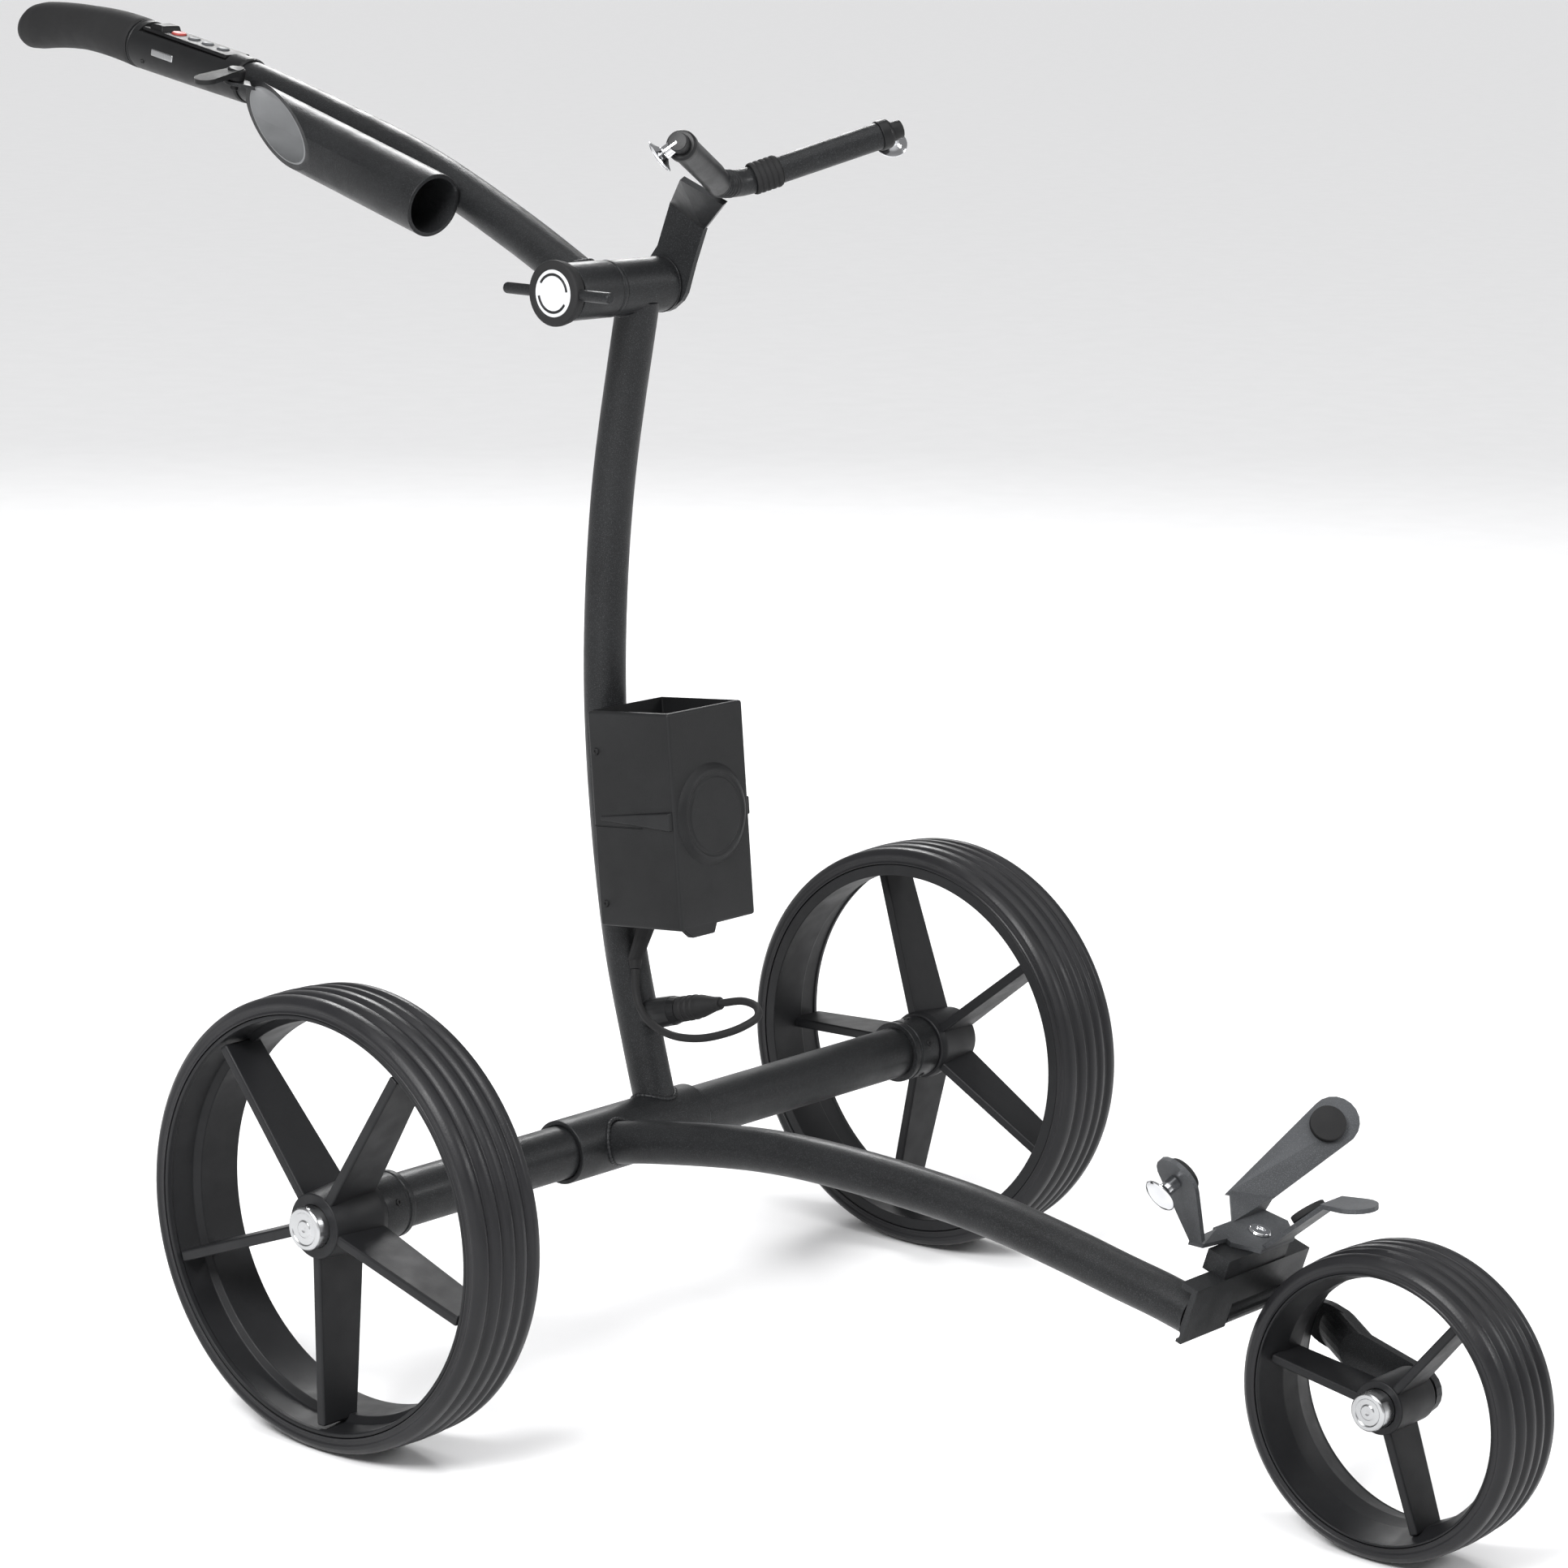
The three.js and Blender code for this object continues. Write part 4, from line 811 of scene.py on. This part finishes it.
def add_battery_box():
    """Open-topped moulding with tapering side belts and a raised round boss on its front."""
    lean = math.radians(BOX_LEAN)
    back = Vector((0, math.cos(lean), math.sin(lean)))
    up = Vector((0, -math.sin(lean), math.cos(lean)))
    spot = lambda x, b, u: at(*BOX_PLACE) + (X_AXIS * x + back * b + up * u) * MM
    corners = lambda xs, bs, us: [spot(x, b, u) for x in xs for b in bs for u in us]
    brick = lambda name, xs, bs, us, soft: block(name, corners(xs, bs, us), soft)
    body = brick("battery_holder", (-38, 38), (-36.75, 36.75), (-73.5, 73.5), 2.2)
    added = [brick("arm", (-12, 12), (35, 50), us, 1.0) for us in ((34, 46), (-50, -38))]
    for side in (-1, 1):
        ends = ((36, 30, (-1, 2)), (38.6, 30, (-1, 2)), (36, -35, (-6, 8)), (41, -35, (-5, 7)))
        belt = [spot(side * x, b, u) for x, b, us in ends for u in us]
        added.append(block("belt", belt, 0.9))
    lip = ((-36, -71), (0, -71), (-4, -79.5), (-26, -79.5))
    added.append(block("lip", [spot(x, b, u) for b in (-36.6, -31) for x, u in lip], 0.9))
    boss = [(-6, 0), (-6, 35), (-0.2, 35), (1.6, 33), (3.4, 30.5), (3.9, 28.6), (3.2, 27.8), (3.2, 25.6),
            (3.9, 24.8), (4.1, 0)]
    added.append(turned("boss", boss, spot(0, -36.7, 1), -back, 0.8, 120))
    cavity = brick("cavity", (-35, 35), (-33.75, 33.75), (-70.5, 90), 1.0)
    slots = [brick("slot", (side * 37.2, side * 60), (-8, 36), (-5.4, -4.2), 0) for side in (-1, 1)]
    stands_for(combined(body, added, [cavity, *slots]), "battery_box")
    for side, label in ((-1, "left"), (1, "right")):
        for u in (-58, 46):
            screw(f"box_screw_{label}_{u + 58}", spot(38 * side, 30, u), X_AXIS * side, "battery_box")


VEE_R = 9


def gathered(t):
    """Radius of the V's cover, with small folds just beside its bend."""
    beside_bend = 0.4 < t < 0.5
    return VEE_R + (0.4 * math.sin(FULL_TURN * 50 * t) if beside_bend else 0)


def add_vee():
    tip = lambda side: at(side * VEE_TIP[0], *VEE_TIP[1:])
    apex = at(*VEE_APEX)
    on_arm = lambda side, t: apex.lerp(tip(side), t)
    points = [tip(-1), on_arm(-1, 0.65), on_arm(-1, 0.35), on_arm(-1, 0.13),
              on_arm(1, 0.13), on_arm(1, 0.35), on_arm(1, 0.65), tip(1)]
    stands_for(swept("vee", smooth_path(points, 48), VEE_R, 56, radius_at=gathered), "vee_tube")
    arm = tip(1) - apex
    span = arm.length / MM
    first, last = 0.17 * span, 0.34 * span
    folds = [(first, 9.2), (first, 10.2)]
    for k in range(5):
        middle_of_fold = first + (last - first) * (k + 0.5) / 5
        folds += [(middle_of_fold - 0.9, 10.7), (middle_of_fold + 0.9, 10.7), (middle_of_fold + 1.7, 9.7)]
    folds += [(last, 10.2), (last, 9.2)]
    stands_for(turned("bellows", folds, apex, arm, 0.45), "vee_bellows")
    for side, label in ((-1, "left"), (1, "right")):
        outward = (tip(side) - apex).normalized()
        collar = [(0.35, 0), (0.35, 10), (6.6, 10), (8.5, 9), (8.5, 5), (3, 5), (3, 0)]
        cap = turned(f"vee_end_{label}", collar, tip(side), outward, 0.5, 72)
        stands_for(cap, f"vee_cap_{label}")
        away = Vector((0.49 * side, 0.63, -0.6)).normalized()
        ferrule = turned("ferrule", [(3.4, 0), (3.4, 4.6), (8.9, 4.6), (8.9, 6.8), (17, 6.2), (17, 0)],
                         tip(side), outward, 0.5, 64)
        mushroom = [(0, 0), (0, 4.2), (11, 4.2), (13, 7.5), (14.6, 11.6), (16, 10), (17, 7), (17, 0)]
        head = turned("head", mushroom, tip(side) + outward * 13 * MM, away, 0.9, 72)
        stands_for(head, f"vee_stud_{label}")
        ferrule.name = f"vee_ferrule_{label}"
        trim(ferrule, "black_plastic", f"vee_stud_{label}")


# ---------------------------------------------------------------- umbrella holder and collars
HOLDER_BOTTOM = at(-69.8, 151.5, 771.4)
HOLDER_TOP = at(-50.5, 380, 832)
HOLDER_AXIS = (HOLDER_TOP - HOLDER_BOTTOM).normalized()
HOLDER_LENGTH = (HOLDER_TOP - HOLDER_BOTTOM).length / MM
HOLDER_SIDE = Z_AXIS.cross(HOLDER_AXIS).normalized()
HOLDER_UP = HOLDER_AXIS.cross(HOLDER_SIDE)
HOLDER_R, HOLDER_BORE = 22, 19.2
MOUTH_LOW = 107      # where the slanted mouth starts, along the holder
LEVER_AT = HOLDER_LENGTH - 1
LEVER_SIDE = -10


def on_holder(s, a, u):
    """A place along, beside and over the umbrella holder's axis."""
    return HOLDER_BOTTOM + (HOLDER_AXIS * s + HOLDER_SIDE * a + HOLDER_UP * u) * MM


def holder_block(name, size, middle_at, soft=0):
    half = [length / 2 for length in size]
    spots = [on_holder(*(c + sign * h for c, sign, h in zip(middle_at, signs, half)))
             for signs in ((i, j, k) for i in (-1, 1) for j in (-1, 1) for k in (-1, 1))]
    return block(name, spots, soft)


def mouth_cut():
    """All that lies past the slanted plane of the holder's mouth."""
    slope = math.atan2(HOLDER_LENGTH - MOUTH_LOW, 2 * HOLDER_R)
    tilt = Matrix.Rotation(slope, 3, "Y")
    roll = Matrix.Rotation(math.radians(84), 3, "X")
    centre = Vector(((HOLDER_LENGTH + MOUTH_LOW) / 2, 0, 0))
    corners = [Vector((x, y, z)) for x in (0, 400) for y in (-100, 100) for z in (-100, 100)]
    return block("mouth", [on_holder(*(roll @ (tilt @ corner + centre))) for corner in corners], 0)


def disc(s, a, u, radius, thickness, lean=(0, 0, 1), sides=40):
    """Rim points of a round disc in the holder's frame."""
    axis = Vector(lean).normalized()
    first = axis.cross(Vector((0, 1, 0))).normalized()
    second = axis.cross(first)
    spots = []
    for k in range(sides):
        angle = FULL_TURN * k / sides
        rim = first * radius * math.cos(angle) + second * radius * math.sin(angle)
        for t in (-thickness / 2, thickness / 2):
            spots.append(on_holder(*(Vector((s, a, u)) + rim + axis * t)))
    return spots


def add_holder():
    """Slanted-mouth tube for an umbrella, clipped beside the handle, with its ledge and wing screw."""
    shell = turned("umbrella_tube", [(0, 0), (0, HOLDER_R), (HOLDER_LENGTH, HOLDER_R), (HOLDER_LENGTH, 0)],
                   HOLDER_BOTTOM, HOLDER_AXIS, 0.7, 144)
    clips = [holder_block("clip", (16, 30, 12), (22, -26, 3), 1),
             holder_block("clip", (16, 30, 12), (HOLDER_LENGTH - 46, -26, 4), 1)]
    bore = turned("bore", [(-5, 0), (-5, HOLDER_BORE), (HOLDER_LENGTH + 5, HOLDER_BORE),
                  (HOLDER_LENGTH + 5, 0)], HOLDER_BOTTOM, HOLDER_AXIS, 0, 144)
    tube = swept("tube", smooth_path([handle_point(*p) for p in HANDLE]), TUBE_R + GAP, 64)
    body = combined(shell, clips, [mouth_cut(), tube, bore])
    root = on_holder(LEVER_AT, LEVER_SIDE, 0)
    ledge_ends = disc(LEVER_AT, LEVER_SIDE, 10.5, 8, 2.6) + disc(LEVER_AT - 13, -17.5, 10.5, 4.5, 2.6)
    ledge = block("ledge", ledge_ends, 0.4)
    screw_bore = turned("bore", [(-5, 0), (-5, 3.4), (25, 3.4), (25, 0)], root, HOLDER_UP, 0, 48)
    stands_for(combined(body, [ledge], [screw_bore]), "umbrella_holder")

    knob = [(5, 0), (5, 3), (12.1, 3), (12.1, 6.5), (19.6, 6.5), (20.5, 5.4), (20.1, 0)]
    hub = turned("wing_screw_knob", knob, root, HOLDER_UP, 0.6, 72)
    lean = (0.12, 0.2, 1)
    wing_ends = disc(LEVER_AT, 15, 13, 9, 3.4, lean) + disc(LEVER_AT, LEVER_SIDE, 18, 5.5, 4.4, lean)
    paddle = block("paddle", wing_ends, 0.9)
    stands_for(combined(hub, [paddle]), "wing_screw")


def add_holder_lining():
    """Pale inner face that shows in the slanted mouth of the umbrella holder."""
    lining = turned("holder_lining", [(70, 18.3), (70, 19.05), (HOLDER_LENGTH - 1, 19.05),
                    (HOLDER_LENGTH - 1, 18.3)], HOLDER_BOTTOM, HOLDER_AXIS, 0.2, 144)
    trim(combined(lining, removed=[mouth_cut()]), "bright_aluminium", "umbrella_holder")
    lining.data.materials[0] = LOOKS["lining"]


def add_collar_bolts():
    for side, label in ((-1, "left"), (1, "right")):
        for k in range(5):
            angle = FULL_TURN * (k + 0.2) / 5
            radial = Vector((0, math.cos(angle), math.sin(angle)))
            place = at(side * 273, 0, AXLE_Z) + radial * 21.8 * MM
            screw(f"collar_bolt_{label}_{k}", place, radial, f"axle_collar_{label}", 2.4)


# ---------------------------------------------------------------- cradle pads and studs
BRACKET_PLACE, BRACKET_LEAN = (0, -498, 142), 17.5
CRADLE_BACK, CRADLE_UP = 12.7, 34.8


def add_cradle_details():
    lean = math.radians(BRACKET_LEAN)
    back = Vector((0, math.cos(lean), math.sin(lean)))
    up = Vector((0, -math.sin(lean), math.cos(lean)))
    centre = at(*BRACKET_PLACE) + (back * CRADLE_BACK + up * CRADLE_UP) * MM
    ends = {"right": ((76.1, 3.4, 52.7), (-0.6, -0.6, 0.53)), "left": ((-86, 2.6, 53), (0.85, -0.2, 0.49)),
            "front": ((0, -38, 18.5), (0, 0.64, 0.77))}
    for label, (place, inner) in ends.items():
        inner = Vector(inner).normalized()
        root = centre + Vector(place) * MM
        pad = [(1.85, 0), (1.85, 11.5), (6.35, 11.5), (6.35, 0)]
        stands_for(turned(f"pad_{label}", pad, root, inner, 0.9, 72), f"cradle_pad_{label}")
        if label != "front":
            stud = [(1.85, 0), (1.85, 4.5), (11.85, 4.5), (13.85, 8), (16.05, 11.6), (17.25, 10.4),
                    (17.85, 8), (17.85, 0)]
            stands_for(turned(f"stud_{label}", stud, root, -inner, 0.8, 72), f"cradle_stud_{label}")
    head = turned("swivel_screw", [(1.85, 0), (1.85, 7.5), (3.2, 6.5), (3.2, 3.2), (1.9, 2.8), (1.9, 0)],
                  centre, up, 0.25, 64)
    shank = turned("shank", [(-9.5, 0), (-9.5, 4), (2.2, 4), (2.2, 0)], centre, up, 0.2, 48)
    stands_for(combined(head, [shank]), "cradle_screw")


# ---------------------------------------------------------------- the scene
LOOKS = make_looks()
add_camera()
add_cord()
refine_kept_nodes()
for wheel_side, wheel_label, first_angle in ((-1, "left", 3), (1, "right", 14)):
    add_rear_wheel(wheel_side, wheel_label, first_angle)
add_front_wheel()
add_axle()
add_tubes()
add_hinge()
add_controls()
add_battery_box()
add_holder()
add_holder_lining()
add_collar_bolts()
add_vee()
add_cradle_details()
add_stage()
